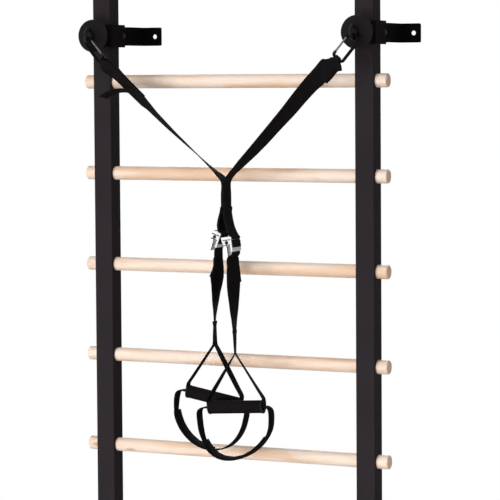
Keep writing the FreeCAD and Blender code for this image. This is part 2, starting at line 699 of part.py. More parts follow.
def make_gate_pins():
    pins = []
    for side in sides:
        pivot = Vec(0, 0, hinge_z - size("hook_rod") / 2)
        reach = Y_AXIS * (size("hook_rod") / 2)
        pin = rod(pivot - reach, pivot + reach, size("gate_pin"))
        pin.Placement = hook_placement(side).multiply(pin.Placement)
        pins.append(pin)
    new_solid("gate_pins", Part.makeCompound(pins))


# ---------------------------------------------------------------- upper straps and yoke


def strap_eye(side):
    """Short sleeve of webbing round the flat base of the carabiner."""
    centre = Vec(size("hook_base") / 2, 0, hook_base_z)
    half = X_AXIS * size("strap_eye_width") / 2
    bore = size("hook_rod") + 2 * size("strap_eye_gap")
    outside = bore + 2 * size("webbing")
    sleeve = rod(centre - half, centre + half, outside)
    sleeve = sleeve.cut(rod(centre - half * 2, centre + half * 2, bore))
    placement = hook_placement(side)
    sleeve.Placement = placement.multiply(sleeve.Placement)
    neck = placement.multVec(centre - Z_AXIS * (bore + size("webbing")) / 2)
    return sleeve, neck, placement.Rotation.multVec(Z_AXIS * -1)


def yoke_join(side):
    """Top of the place where an upper strap lies sewn on the yoke."""
    seat = size("yoke_core") / 2 + size("webbing") / 2 + size("seam_gap")
    return Vec(size("yoke_x") + sides[side] * seat, eye_y, size("yoke_top"))


# share of the way from the carabiner to the yoke, sideways share, turn in degrees
STRAP_RUN = {
    "left": [(0.3088, -0.0009, -48), (0.3674, -0.0037, -52), (0.4545, -0.0085, -58),
             (0.5346, -0.0105, -60), (0.6284, -0.0111, -65), (0.7162, -0.01, -68),
             (0.7866, -0.0093, -71), (0.8598, -0.0084, -74), (0.9179, -0.0071, -79),
             (0.9617, -0.0064, -86)],
    "right": [(0.1313, -0.0115, 33), (0.2254, -0.0128, 47), (0.3166, -0.0101, 53),
             (0.4324, -0.0032, 59), (0.5521, -0.0005, 66), (0.677, 0.0032, 70),
             (0.7882, 0.0037, 76), (0.8481, 0.0027, 80), (0.9114, 0.0026, 86),
             (0.9627, 0.0029, 90)],
}
STRAP_FOLD = {
    "left": [(0.0807, -0.0007, -43), (0.1469, -0.0002, -46), (0.2006, -0.001, -44),
             (0.3342, -0.0012, -42)],
    "right": [(0.0466, -0.0128, 33), (0.1022, -0.0117, 32), (0.1501, -0.0114, 34)],
}
STRAP_TAIL = [(0.2911, -0.0044, -44), (0.2459, -0.0137, -56), (0.2129, -0.0304, -70),
             (0.1799, -0.0573, -75), (0.1566, -0.0818, -76), (0.1404, -0.1076, -76),
             (0.1273, -0.1337, -75), (0.1194, -0.1554, -74)]


def chord_points(side, neck, table):
    join = yoke_join(side)
    return [(bowed(neck, join, share, rise), turned) for share, rise, turned in table]


def strap_tail(neck):
    """Loose end of the left strap, from under its sewn overlap."""
    behind = Y_AXIS * (size("webbing") + size("tail_gap"))
    run = [(point + behind, turned) for point, turned in chord_points("left", neck, STRAP_TAIL)]
    directions = centre_directions([point for point, _ in run])
    return ribbon([(p, d, size("tail_width") * 0.9, -turned) for (p, turned), d in
                   zip(run, directions)], size("webbing"))


def make_upper_strap(side):
    sleeve, neck, away = strap_eye(side)
    full, thick = size("strap_width"), size("webbing")
    first = 33 * sides[side]
    fold = [(neck, full * 0.85, first), (neck + away * thick * 1.2, full, first)]
    fold += [(point, full, turned) for point, turned in
             chord_points(side, neck, STRAP_FOLD[side])]
    directions = centre_directions([point for point, _, _ in fold])
    directions[0] = away
    doubled = ribbon([(p, d, w, a) for (p, w, a), d in zip(fold, directions)], 2 * thick)
    join, square = yoke_join(side), 90 * sides[side]
    single = chord_points(side, neck, STRAP_RUN[side])
    single += [(join - Z_AXIS * thick * 3, square), (join - Z_AXIS * size("sewn_length"), square)]
    directions = centre_directions([point for point, _ in single])
    directions[-1] = directions[-2] = Z_AXIS * -1
    band = ribbon([(p, d, full, a) for (p, a), d in zip(single, directions)], thick)
    solid = sleeve.fuse([doubled, band])
    if side == "left":
        solid = solid.fuse(strap_tail(neck))
    bar_start = Vec(0, 0, hook_base_z)
    bar = rod(bar_start, bar_start + X_AXIS * size("hook_base"),
              size("hook_rod") + 2 * size("strap_eye_gap"))
    bar.Placement = hook_placement(side).multiply(bar.Placement)
    new_solid("upper_strap_" + side, solid.cut(bar))


def buckle_pivot(side):
    return Vec(size("buckle_%s_x" % side), eye_y, size("buckle_%s_z" % side))


# share of the way from the yoke's seam to a buckle, sideways share
WEB_RUN = {
    "left": [(0.1384, -0.0494), (0.3004, -0.0912), (0.4618, -0.1218), (0.6387, -0.1389),
             (0.8288, -0.101)],
    "right": [(0.1141, -0.0249), (0.2519, -0.0423), (0.3912, -0.0546), (0.5459, -0.0627),
             (0.7502, -0.0483)],
}


def make_yoke():
    """Sewn middle strap: a core, then a folded web round the hinge bar of each buckle."""
    width, core, ply = size("strap_width"), size("yoke_core"), size("webbing")
    x, top, seam = size("yoke_x"), size("yoke_top"), size("yoke_seam")
    solid = Part.makeBox(core, width, top - seam, Vec(x - core / 2, eye_y - width / 2, seam))
    bore = size("buckle_bar") + 2 * size("strap_eye_gap")
    outside = bore + 2 * ply
    for side, sign in sides.items():
        pivot = buckle_pivot(side)
        start = Vec(x + sign * ply, eye_y, seam + ply)
        points = [start] + [bowed(start, pivot, share, rise) for share, rise in WEB_RUN[side]]
        points.append(pivot + (points[-1] - pivot).normalize() * (bore + ply) / 2)
        run = centre_directions(points)
        web = ribbon([(p, d, width, 90) for p, d in zip(points, run)], 2 * ply)
        half = Y_AXIS * width / 2
        solid = solid.fuse([web, rod(pivot - half, pivot + half, outside)])
        solid = solid.cut(rod(pivot - half * 2, pivot + half * 2, bore))
    new_solid("yoke", solid)


# ---------------------------------------------------------------- cam buckles


def buckle_placement(side):
    """Local origin on the hinge bar, local Z up the webbing, cam on the -X side."""
    pivot = buckle_pivot(side)
    return FreeCAD.Placement(pivot, turn(size("buckle_%s_tilt" % side)))


def lip_level():
    """Top of the base plate, low enough for both straps between it and the hinge bar."""
    ply, gap = size("webbing"), size("strap_eye_gap")
    sleeve = size("buckle_bar") / 2 + gap + ply
    return -sleeve - size("lip_clearance") - size("base_plate") / 2 - gap - ply


def cam_centre():
    return Vec(-size("cam_x"), 0, -size("cam_z"))


def make_buckle_frame(side):
    """Two cheeks joined by the base plate, the hinge bar and the front bar."""
    inside, cheek, bar = size("buckle_inside"), size("cheek"), size("buckle_bar")
    plate, base = size("base_plate"), size("base_length")
    depth, drop, rail, out = size("cheek_depth"), size("cheek_drop"), size("rail"), size("rail_out")
    wide = inside + 2 * cheek
    side_view = rounded_polygon(
        [Vec(-plate * 1.5, 0, -base), Vec(plate / 2, 0, -base), Vec(plate / 2, 0, bar),
         Vec(-depth, 0, bar), Vec(-depth, 0, -bar), Vec(-depth * 0.82, 0, -drop),
         Vec(-plate * 1.5, 0, -drop)], [1.0, 0.9, 2.5, 2.0, 2.0, 3.0, 3.0])
    block = Part.Face(side_view).extrude(Y_AXIS * wide)
    block.translate(Y_AXIS * (-wide / 2))
    gap = Part.makeBox(4 * depth, inside, 4 * base, Vec(-2 * depth, -inside / 2, -2 * base))
    cheeks = block.cut(gap)
    top = lip_level()
    back = Part.makeBox(plate, inside, base + top, Vec(-plate / 2, -inside / 2, -base))
    lip = rod(Vec(0, -inside / 2, top), Vec(0, inside / 2, top), plate)
    half = Y_AXIS * (wide / 2)
    hinge = rod(half * -1, half, bar)
    guide_at = Vec(bar - depth, 0, bar / 2)
    guide = rod(guide_at - half, guide_at + half, bar)
    parts = [back, lip, hinge, guide]
    for sign in (-1, 1):
        start = Y_AXIS * (sign * wide / 2 + min(sign, 0) * out)
        parts.append(Part.makeBox(depth - 2 * plate, out, rail,
                                  start + Vec(-depth, 0, bar - rail)))
    solid = cheeks.fuse(parts)
    cam = cam_centre()
    bore = size("cam_pin") + 2 * size("pin_clearance")
    solid = solid.cut(rod(cam - half * 2, cam + half * 2, bore))
    new_solid("buckle_frame_" + side, solid.removeSplitter(), buckle_placement(side))


def make_cam_pin(side):
    reach = Y_AXIS * (size("buckle_inside") / 2 + size("cheek"))
    cam = cam_centre()
    pin = rod(cam - reach, cam + reach, size("cam_pin"))
    for sign in (-1, 1):
        end = cam + reach * sign
        pin = pin.fuse(Part.makeCone(size("cam_pin") * 0.9, size("cam_pin") * 0.5, 1.2, end,
                                     Y_AXIS * sign))
    new_solid("cam_pin_" + side, pin, buckle_placement(side))


def make_lever(side):
    """Toothed cam with a thumb plate that hangs down in front of the strap."""
    cam, plate = cam_centre(), size("lever_plate")
    radius, reach = size("cam_radius"), size("lever_reach")
    half = Y_AXIS * (size("lever_width") / 2)
    barrel = rod(half * -1, half, 2 * radius)
    teeth = []
    for k in range(5):
        t = math.radians(-50 + 25 * k)
        tip = Vec(math.cos(t), 0, math.sin(t)) * (radius + 0.5)
        teeth.append(rod(tip - half * 2, tip + half * 2, 2.4))
    barrel = barrel.cut(teeth)
    tongue = Part.makeBox(plate, size("tongue_width"), reach, Vec(
        -radius, -size("tongue_width") / 2, -reach))
    corners = [e for e in tongue.Edges if abs(e.CenterOfMass.z + reach) < 0.01
               and e.Length < plate + 0.01]
    solid = barrel.fuse(tongue.makeFillet(5.0, corners))
    bore = size("cam_pin") + 2 * size("pin_clearance")
    solid = solid.cut(rod(half * -2, half * 2, bore))
    lean = FreeCAD.Placement(cam, turn(size("lever_%s_lean" % side)))
    new_solid("cam_lever_" + side, solid.removeSplitter(), buckle_placement(side).multiply(lean))


# ---------------------------------------------------------------- leg straps, handles, foot loops


def grip_placement(side):
    """Local X along the grip, local Z up, origin at the grip's middle."""
    centre = Vec(size("grip_%s_x" % side), eye_y - sides[side] * size("leg_offset"),
                 size("grip_%s_z" % side))
    return FreeCAD.Placement(centre, turn(size("grip_%s_tilt" % side)))


def apex_top(side):
    """Height of the outside of the handle strap's top bend above the grip."""
    rise, run = size("apex_%s_height" % side) - size("knee_z"), size("corner_x")
    at = size("apex_%s_x" % side)
    half = (math.atan2(run - at, rise) + math.atan2(run + at, rise)) / 2
    dip = size("apex_radius") / math.sin(half) - size("apex_radius")
    return size("apex_%s_height" % side) - dip + size("handle_webbing") / 2


# share of the way from the buckle to the handle, sideways share, turn in degrees
LEG_RUN = {
    "left": [(0.0874, 0.0019, 1), (0.169, 0.0086, 4), (0.2438, 0.0012, 14),
             (0.2937, -0.0046, 20), (0.376, -0.0047, 10), (0.4587, -0.0089, 1),
             (0.5412, -0.0107, -5), (0.6235, -0.0108, -13), (0.7058, -0.0118, -19),
             (0.7593, -0.0115, -22)],
    "right": [(0.0413, -0.0383, 10), (0.122, -0.0332, 13), (0.1947, -0.0286, 19),
             (0.2432, -0.0253, 21), (0.3238, -0.0242, 19), (0.4045, -0.0219, 13),
             (0.4852, -0.0183, 6), (0.5658, -0.016, 0), (0.6465, -0.0133, -8),
             (0.7635, -0.0089, -16)],
}
LEG_TWIST = {"left": (100, 104, 99, 87), "right": (98, 98, 105, 110)}


def make_leg_strap(side):
    """Strap through the buckle, its end folded back over the base plate."""
    buckle, grip = buckle_placement(side), grip_placement(side)
    ply, gap, plate = size("webbing"), size("strap_eye_gap"), size("base_plate")
    width, narrow = size("strap_width"), size("handle_width")
    run_x = plate / 2 + gap + ply / 2
    top = lip_level()
    bend = rod(Vec(0, -width / 2, top), Vec(0, width / 2, top), 2 * run_x + ply)
    bend = bend.cut(rod(Vec(0, -width, top), Vec(0, width, top), 2 * run_x - ply))
    bend = bend.cut(Part.makeBox(20, 2 * width, 20, Vec(-10, -width, top - 20)))
    inner = Part.makeBox(ply, width, size("base_length") + top,
                         Vec(-run_x - ply / 2, -width / 2, -size("base_length")))
    flap = Part.makeBox(ply, width, size("tail_drop"),
                        Vec(run_x - ply / 2, -width / 2, top - size("tail_drop")))
    head = bend.fuse([inner, flap])
    head.Placement = buckle
    mouth = buckle.multVec(Vec(-run_x, 0, -size("base_length") + 0.5))
    lead = buckle.multVec(Vec(-run_x, 0, -size("base_length") - 6))
    foot = grip.multVec(Vec(size("apex_%s_x" % side), 0, apex_top(side) + gap))
    stations = [(mouth, 90), (lead, 90)]
    stations += [(bowed(lead, foot, share, rise), 90 - turned)
                 for share, rise, turned in LEG_RUN[side]]
    points = [point for point, _ in stations]
    directions = centre_directions(points)
    directions[0] = directions[1] = (lead - mouth).normalize()
    band = ribbon([(p, d, width, a) for (p, a), d in zip(stations, directions)], ply)
    low = points[-1]
    lower = list(zip((points[-2], low, (low + foot) / 2, foot), LEG_TWIST[side]))
    chain = [point for point, _ in lower]
    down = ribbon([(p, d, narrow, a) for (p, a), d in zip(lower, centre_directions(chain))],
                  2 * ply)
    new_solid("leg_strap_" + side, head.fuse([band, down]))


def make_handle_strap(side):
    """Loop of narrow webbing that runs through the grip's tube, up to a point."""
    run, knee = size("corner_x"), size("knee_z")
    corner, bend = size("corner_radius"), size("knee_radius")
    peak = Vec(size("apex_%s_x" % side), 0, size("apex_%s_height" % side))
    wire = rounded_polygon([Vec(-run, 0, 0), Vec(run, 0, 0), Vec(run, 0, knee), peak,
                            Vec(-run, 0, knee)], [corner, corner, bend, size("apex_radius"), bend])
    band = closed_band(wire, size("handle_webbing"), size("handle_width"))
    new_solid("handle_strap_" + side, band, grip_placement(side))


def make_grip(side):
    """Core tube with end rings, and the foam over it."""
    half, ring = size("grip_length") / 2, size("end_ring")
    bore, outside = size("core_bore"), size("core_bore") + 2 * size("core_wall")
    core = rod(X_AXIS * (-half - ring), X_AXIS * (half + ring), outside)
    for sign in (-1, 1):
        inner = X_AXIS * (sign * half)
        core = core.fuse(rod(inner, inner + X_AXIS * (sign * ring), size("end_ring_diameter")))
    core = core.cut(rod(X_AXIS * (-2 * half), X_AXIS * (2 * half), bore))
    new_solid("grip_core_" + side, core.removeSplitter(), grip_placement(side))
    gap = size("grip_clearance")
    foam = rod(X_AXIS * (gap - half), X_AXIS * (half - gap), size("grip_diameter"))
    foam = foam.cut(rod(X_AXIS * (-2 * half), X_AXIS * (2 * half), outside + 2 * gap))
    new_solid("grip_foam_" + side, foam, grip_placement(side))


def loop_root():
    """Distance from the grip's middle to the sewn end of a foot loop."""
    return size("corner_x") + size("handle_webbing") / 2 + size("strap_eye_gap")


def loop_reach(side, end):
    """How far the loop swells out at its left or right end."""
    return loop_root() + size("loop_%s_run_%s" % (side, end)) + size("loop_shoulder")


def loop_half(side):
    return (loop_reach(side, "left") + loop_reach(side, "right")) / 2


def loop_middle(side):
    return (loop_reach(side, "right") - loop_reach(side, "left")) / 2


def loop_point(side, degrees, offset):
    """Point of the loop's lower bow, moved outwards by the offset.

    0 is the left end of the bow, 90 its bottom and 180 its right end.
    """
    t = math.radians(degrees)
    drop, skew = size("loop_drop") - size("loop_level"), size("loop_skew_%s" % side)
    slope = Vec(loop_half(side) * math.sin(t) + 2 * skew * math.sin(t) * math.cos(t), 0,
                -drop * math.cos(t)).normalize()
    point = Vec(loop_middle(side) - loop_half(side) * math.cos(t)
                + skew * math.sin(t) ** 2, 0, -size("loop_level") - drop * math.sin(t))
    return point + Vec(slope.z, 0, -slope.x) * offset


def loop_bow(side, thin, width):
    """Lower bow of the foot loop, thickened by half of thin to each side."""
    edges = []
    for offset in (thin / 2, -thin / 2):
        curve = Part.BSplineCurve()
        curve.interpolate([loop_point(side, 15 * k, offset) for k in range(13)],
                          InitialTangent=Z_AXIS * -1, FinalTangent=Z_AXIS)
        edges.append(curve.toShape())
    for degrees in (0, 180):
        edges.append(line(loop_point(side, degrees, thin / 2),
                          loop_point(side, degrees, -thin / 2)))
    face = Part.Face(Part.Wire(Part.__sortEdges__(edges)))
    band = face.extrude(Y_AXIS * width)
    band.translate(Y_AXIS * (-width / 2))
    return band


def make_foot_loop(side):
    """Oval band below the grip, its two ends sewn on beside the grip's axis."""
    thin, width, turn_radius = size("loop_thickness"), size("loop_width"), size("loop_shoulder")
    middle, root = loop_middle(side), loop_root()
    band = loop_bow(side, thin, width)
    for sign in (-1, 1):
        hub = Vec(middle + sign * (loop_half(side) - turn_radius), 0, -turn_radius)
        outer, inner = turn_radius + thin / 2, turn_radius - thin / 2
        angles = (90, 0) if sign > 0 else (90, 180)
        bend_out, bend_in = arc(hub, outer, *angles), arc(hub, inner, *angles)
        wide_x = middle + sign * loop_half(side)
        level = -size("loop_level")
        outer_x, inner_x = wide_x + sign * thin / 2, wide_x - sign * thin / 2
        chain = [
            line(Vec(sign * root, 0, thin / 2), Vec(hub.x, 0, thin / 2)), bend_out,
            line(Vec(outer_x, 0, hub.z), Vec(outer_x, 0, level)),
            line(Vec(outer_x, 0, level), Vec(inner_x, 0, level)),
            line(Vec(inner_x, 0, level), Vec(inner_x, 0, hub.z)), bend_in,
            line(Vec(hub.x, 0, -thin / 2), Vec(sign * root, 0, -thin / 2)),
            line(Vec(sign * root, 0, -thin / 2), Vec(sign * root, 0, thin / 2)),
        ]
        face = Part.Face(Part.Wire(Part.__sortEdges__(chain)))
        shoulder = face.extrude(Vec(0, width, 0))
        shoulder.translate(Vec(0, -width / 2, 0))
        band = band.fuse(shoulder)
    new_solid("foot_loop_" + side, band.removeSplitter(), grip_placement(side))


def make_foot_pad(side):
    """Padded sleeve that slides on the foot loop."""
    width, gap = size("pad_width"), 2 * size("pad_clearance")
    sleeve = loop_bow(side, size("pad_thickness"), width)
    slot = loop_bow(side, size("loop_thickness") + gap, size("loop_width") + gap)
    hub, far = Vec(0, -width, -size("loop_level")), 2 * loop_half(side)
    at, span = size("pad_%s_middle_angle" % side), size("pad_%s_angle" % side)
    corners = [hub]
    for turned in (-0.5, -0.2, 0.2, 0.5):
        t = math.radians(at + turned * span)
        corners.append(hub + Vec(-math.cos(t), 0, -math.sin(t)) * far)
    sector = Part.Face(Part.makePolygon(corners + corners[:1])).extrude(Y_AXIS * 2 * width)
    new_solid("foot_pad_" + side, sleeve.cut(slot).common(sector), grip_placement(side))


# ---------------------------------------------------------------- build, check, write

for side_name in sides:
    make_upright(side_name)
    for end_name in ("top", "foot"):
        make_cap(side_name, end_name)
    for level_name in bracket_levels:
        make_collar(side_name, level_name)
        for reach_name in ("outer", "inner"):
            make_arm(side_name, level_name, reach_name)
    make_horn(side_name)
    make_eye_bolt(side_name)
for rung_number, rung_level in enumerate(rung_levels, start=1):
    make_rung(rung_number, rung_level)
make_screws()
make_clamp_bolts()
make_nuts()
for side_name in sides:
    make_carabiner(side_name)
    make_gate(side_name)
    make_upper_strap(side_name)
    make_buckle_frame(side_name)
    make_cam_pin(side_name)
    make_lever(side_name)
    make_leg_strap(side_name)
    make_handle_strap(side_name)
    make_grip(side_name)
    make_foot_loop(side_name)
    make_foot_pad(side_name)
make_gate_pins()
make_yoke()
doc.recompute()

for item in doc.Objects:
    if "Invalid" in item.State or "Error" in item.State:
        raise RuntimeError("%s failed: %s" % (item.Name, item.State))
for piece in pieces:
    if piece.Shape.isNull() or not piece.Shape.isValid() or not piece.Shape.Solids:
        raise RuntimeError("%s has no valid solid" % piece.Label)

os.makedirs("parts", exist_ok=True)
for piece in pieces:
    piece.Shape.exportStep(os.path.join("parts", piece.Label + ".step"))
print("%d pieces, %d solids" % (len(pieces), sum(len(p.Shape.Solids) for p in pieces)))
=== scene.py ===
import bpy
import math
from mathutils import Matrix, Vector
from mathutils.geometry import interpolate_bezier


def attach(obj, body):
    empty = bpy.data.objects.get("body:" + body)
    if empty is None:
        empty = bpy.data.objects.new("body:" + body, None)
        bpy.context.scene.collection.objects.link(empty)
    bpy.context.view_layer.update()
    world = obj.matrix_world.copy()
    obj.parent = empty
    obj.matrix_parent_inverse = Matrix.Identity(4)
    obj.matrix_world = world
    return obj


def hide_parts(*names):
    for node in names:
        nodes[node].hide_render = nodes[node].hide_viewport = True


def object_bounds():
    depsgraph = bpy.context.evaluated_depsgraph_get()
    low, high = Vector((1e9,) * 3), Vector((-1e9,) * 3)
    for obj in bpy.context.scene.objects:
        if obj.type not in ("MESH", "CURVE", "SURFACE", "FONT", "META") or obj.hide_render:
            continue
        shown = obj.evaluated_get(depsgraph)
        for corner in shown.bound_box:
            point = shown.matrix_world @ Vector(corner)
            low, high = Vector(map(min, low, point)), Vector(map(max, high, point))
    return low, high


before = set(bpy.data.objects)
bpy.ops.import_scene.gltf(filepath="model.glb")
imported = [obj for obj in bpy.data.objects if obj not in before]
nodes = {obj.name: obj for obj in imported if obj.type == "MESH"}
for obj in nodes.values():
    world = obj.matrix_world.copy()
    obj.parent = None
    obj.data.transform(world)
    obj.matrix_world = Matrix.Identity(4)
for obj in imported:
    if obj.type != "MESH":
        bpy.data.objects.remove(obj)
cadBox = [list(corner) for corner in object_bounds()]
yAxis = Vector((0, 1, 0))
sides = {"left": -1, "right": 1}


def mm(x, y, z):
    return Vector((x, y, z)) / 1000


def clearSelection():
    if bpy.context.object and bpy.context.object.mode != "OBJECT":
        bpy.ops.object.mode_set(mode="OBJECT")
    bpy.ops.object.select_all(action="DESELECT")


def addModifier(piece, kind, **settings):
    modifier = piece.modifiers.new(kind.title(), kind)
    for key, value in settings.items():
        setattr(modifier, key, value)
    bpy.context.view_layer.objects.active = piece
    bpy.ops.object.modifier_apply(modifier=modifier.name)


def tidyShell(piece, angle=40):
    clearSelection()
    piece.select_set(True)
    bpy.context.view_layer.objects.active = piece
    bpy.ops.object.mode_set(mode="EDIT")
    bpy.ops.mesh.select_all(action="SELECT")
    bpy.ops.mesh.normals_make_consistent(inside=False)
    bpy.ops.object.mode_set(mode="OBJECT")
    bpy.ops.object.shade_smooth_by_angle(angle=math.radians(angle))


def settlePlace(piece):
    clearSelection()
    piece.select_set(True)
    bpy.context.view_layer.objects.active = piece
    bpy.ops.object.transform_apply(location=True, rotation=True, scale=True)


def finishPiece(piece, material, body, slotName, *replaced):
    piece.data.materials.clear()
    piece.data.materials.append(material)
    if replaced:
        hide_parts(*replaced)
    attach(piece, body)


# shader groups, shared by several materials

def startGroup(name, inputs, outputs):
    tree = bpy.data.node_groups.new(name, "ShaderNodeTree")
    for label, value in inputs.items():
        socket = tree.interface.new_socket(label, in_out="INPUT", socket_type="NodeSocketFloat")
        socket.default_value = value
    for label in outputs:
        tree.interface.new_socket(label, in_out="OUTPUT", socket_type="NodeSocketFloat")
    return tree, tree.nodes.new("NodeGroupInput"), tree.nodes.new("NodeGroupOutput")


def endGroup(tree, end, **results):
    for label, value in results.items():
        tree.links.new(value, end.inputs[label])
    return tree


def addNode(tree, kind, inputs=None, **settings):
    node = tree.nodes.new("ShaderNode" + kind)
    for key, value in settings.items():
        setattr(node, key, value)
    for key, value in (inputs or {}).items():
        if isinstance(value, bpy.types.NodeSocket):
            tree.links.new(value, node.inputs[key])
        else:
            node.inputs[key].default_value = value
    return node


def calc(tree, operation, *values, clamp=False):
    node = tree.nodes.new("ShaderNodeMath")
    node.operation = operation
    node.use_clamp = clamp
    for index, value in enumerate(values):
        if isinstance(value, bpy.types.NodeSocket):
            tree.links.new(value, node.inputs[index])
        else:
            node.inputs[index].default_value = value
    return node.outputs[0]


def band(tree, value, low, high):
    node = addNode(tree, "MapRange", {"Value": value, "From Min": low, "From Max": high},
                   interpolation_type="SMOOTHSTEP")
    return node.outputs["Result"]


def mixColour(tree, factor, first, second):
    node = tree.nodes.new("ShaderNodeMix")
    node.data_type = "RGBA"
    for index, value in ((0, factor), (6, first), (7, second)):
        if isinstance(value, bpy.types.NodeSocket):
            tree.links.new(value, node.inputs[index])
        else:
            node.inputs[index].default_value = value
    return node.outputs[2]


def laidOver(tree, colour, mask, share, shade):
    return mixColour(tree, calc(tree, "MULTIPLY", mask, share), colour, shade)


def stretched(tree, scale, rotation=(0, 0, 0), source="Object"):
    place = addNode(tree, "TexCoord")
    mapping = addNode(tree, "Mapping", {"Vector": place.outputs[source], "Scale": scale,
                                        "Rotation": rotation})
    return mapping.outputs["Vector"]


def noise(tree, vector, scale, detail=2.0, roughness=0.5):
    node = addNode(tree, "TexNoise", {"Vector": vector, "Scale": scale, "Detail": detail,
                                      "Roughness": roughness})
    return node.outputs["Fac"]


coatGrain = {"peel": 900.0, "drift": 6.0, "dust": 420.0, "dustBand": (0.70, 0.78)}


def makeCoatPeel():
    # powder coat: fine orange peel, slow drift of tone, a few dust specks
    tree, start, end = startGroup("coatPeel", {"Grain": coatGrain["peel"]},
                                  ("Height", "Tone", "Specks"))
    place = stretched(tree, (1, 1, 1))
    peel = addNode(tree, "TexNoise", {"Vector": place, "Scale": start.outputs["Grain"],
                                      "Detail": 3.0}).outputs["Fac"]
    drift = noise(tree, place, coatGrain["drift"], 3.0)
    specks = band(tree, noise(tree, place, coatGrain["dust"], 1.0), *coatGrain["dustBand"])
    return endGroup(tree, end, Height=peel, Tone=drift, Specks=specks)


edgeHighlightSizes = {"level": 0.705, "half": 0.029, "reach": 0.0016, "grain": 260.0, "band": (0.42, 0.62)}


def makeEdgeWear():
    # painted highlight: a lighter rim along the upper and lower edges of the bracket parts, broken
    # up by noise
    made = edgeHighlightSizes
    tree, start, end = startGroup("edgeWear", {"Level": made["level"], "Half": made["half"],
                                               "Reach": made["reach"]}, ("Wear",))
    place = addNode(tree, "TexCoord").outputs["Object"]
    height = addNode(tree, "SeparateXYZ", {"Vector": place}).outputs["Z"]
    away = calc(tree, "ABSOLUTE", calc(tree, "SUBTRACT", calc(tree, "ABSOLUTE", height),
                                       start.outputs["Level"]))
    inside = calc(tree, "SUBTRACT", start.outputs["Half"], away)
    near = calc(tree, "SUBTRACT", 1.0, calc(tree, "DIVIDE", inside, start.outputs["Reach"]),
                clamp=True)
    broken = band(tree, noise(tree, place, made["grain"], 4.0), *made["band"])
    return endGroup(tree, end, Wear=calc(tree, "MULTIPLY", near, broken))


weaveSizes = {"rib": 0.0021, "yarn": 0.0013, "half": 0.021, "selvage": 0.0025, "wearAndEdgeHighlight": 55.0,
              "lint": 1500.0, "lintBand": (0.62, 0.80)}


def makeWeave():
    # flat webbing: ribs across, a fine twill, firm selvages, loose lint
    made = weaveSizes
    tree, start, end = startGroup("webWeave", {"Rib": made["rib"], "Yarn": made["yarn"],
                                               "Half": made["half"]}, ("Height", "Shade", "Lint"))
    cloth = addNode(tree, "TexCoord").outputs["UV"]
    split = addNode(tree, "SeparateXYZ", {"Vector": cloth})
    across, along = split.outputs["X"], split.outputs["Y"]
    slant = calc(tree, "ABSOLUTE", calc(tree, "SUBTRACT", calc(tree, "FRACT", calc(
        tree, "DIVIDE", across, calc(tree, "MULTIPLY", start.outputs["Yarn"], 6.0))), 0.5))
    twill = calc(tree, "SINE", calc(tree, "MULTIPLY", calc(tree, "ADD", calc(
        tree, "DIVIDE", along, start.outputs["Rib"]), calc(tree, "MULTIPLY", slant, 6.0)), 6.2832))
    yarn = calc(tree, "SINE", calc(tree, "MULTIPLY", calc(
        tree, "DIVIDE", across, start.outputs["Yarn"]), 6.2832))
    woven = calc(tree, "MULTIPLY_ADD", calc(tree, "MULTIPLY", twill, 0.6), 0.5, 0.5)
    woven = calc(tree, "ADD", woven, calc(tree, "MULTIPLY", yarn, 0.15))
    rim = calc(tree, "SUBTRACT", start.outputs["Half"], calc(tree, "ABSOLUTE", across))
    selvage = calc(tree, "SUBTRACT", 1.0, calc(tree, "DIVIDE", rim, made["selvage"]),
                   clamp=True)
    height = calc(tree, "ADD", woven, calc(tree, "MULTIPLY", selvage, 0.6))
    wearAndEdgeHighlight = noise(tree, cloth, made["wearAndEdgeHighlight"], 4.0)
    fuzz = band(tree, noise(tree, cloth, made["lint"], 2.0), *made["lintBand"])
    shade = calc(tree, "MULTIPLY_ADD", woven, 0.9, calc(tree, "MULTIPLY_ADD", wearAndEdgeHighlight, 0.6, -0.2))
    return endGroup(tree, end, Height=height, Shade=shade, Lint=fuzz)


beechGrain = {"pitch": 0.235, "first": -0.8225, "warp": (5, 14, 14), "tone": (2.2, 34, 34),
              "streak": (9, 420, 420), "fleck": (260, 1300, 1300), "fleckBand": (0.66, 0.74),
              "knot": (5.5, 26, 14), "knotBand": (0.03, 0.13), "heartY": 0.176, "heartZ": 0.012,
              "rings": 3100.0, "ringWaver": 0.002, "endFrom": 0.41655, "endTo": 0.41690}


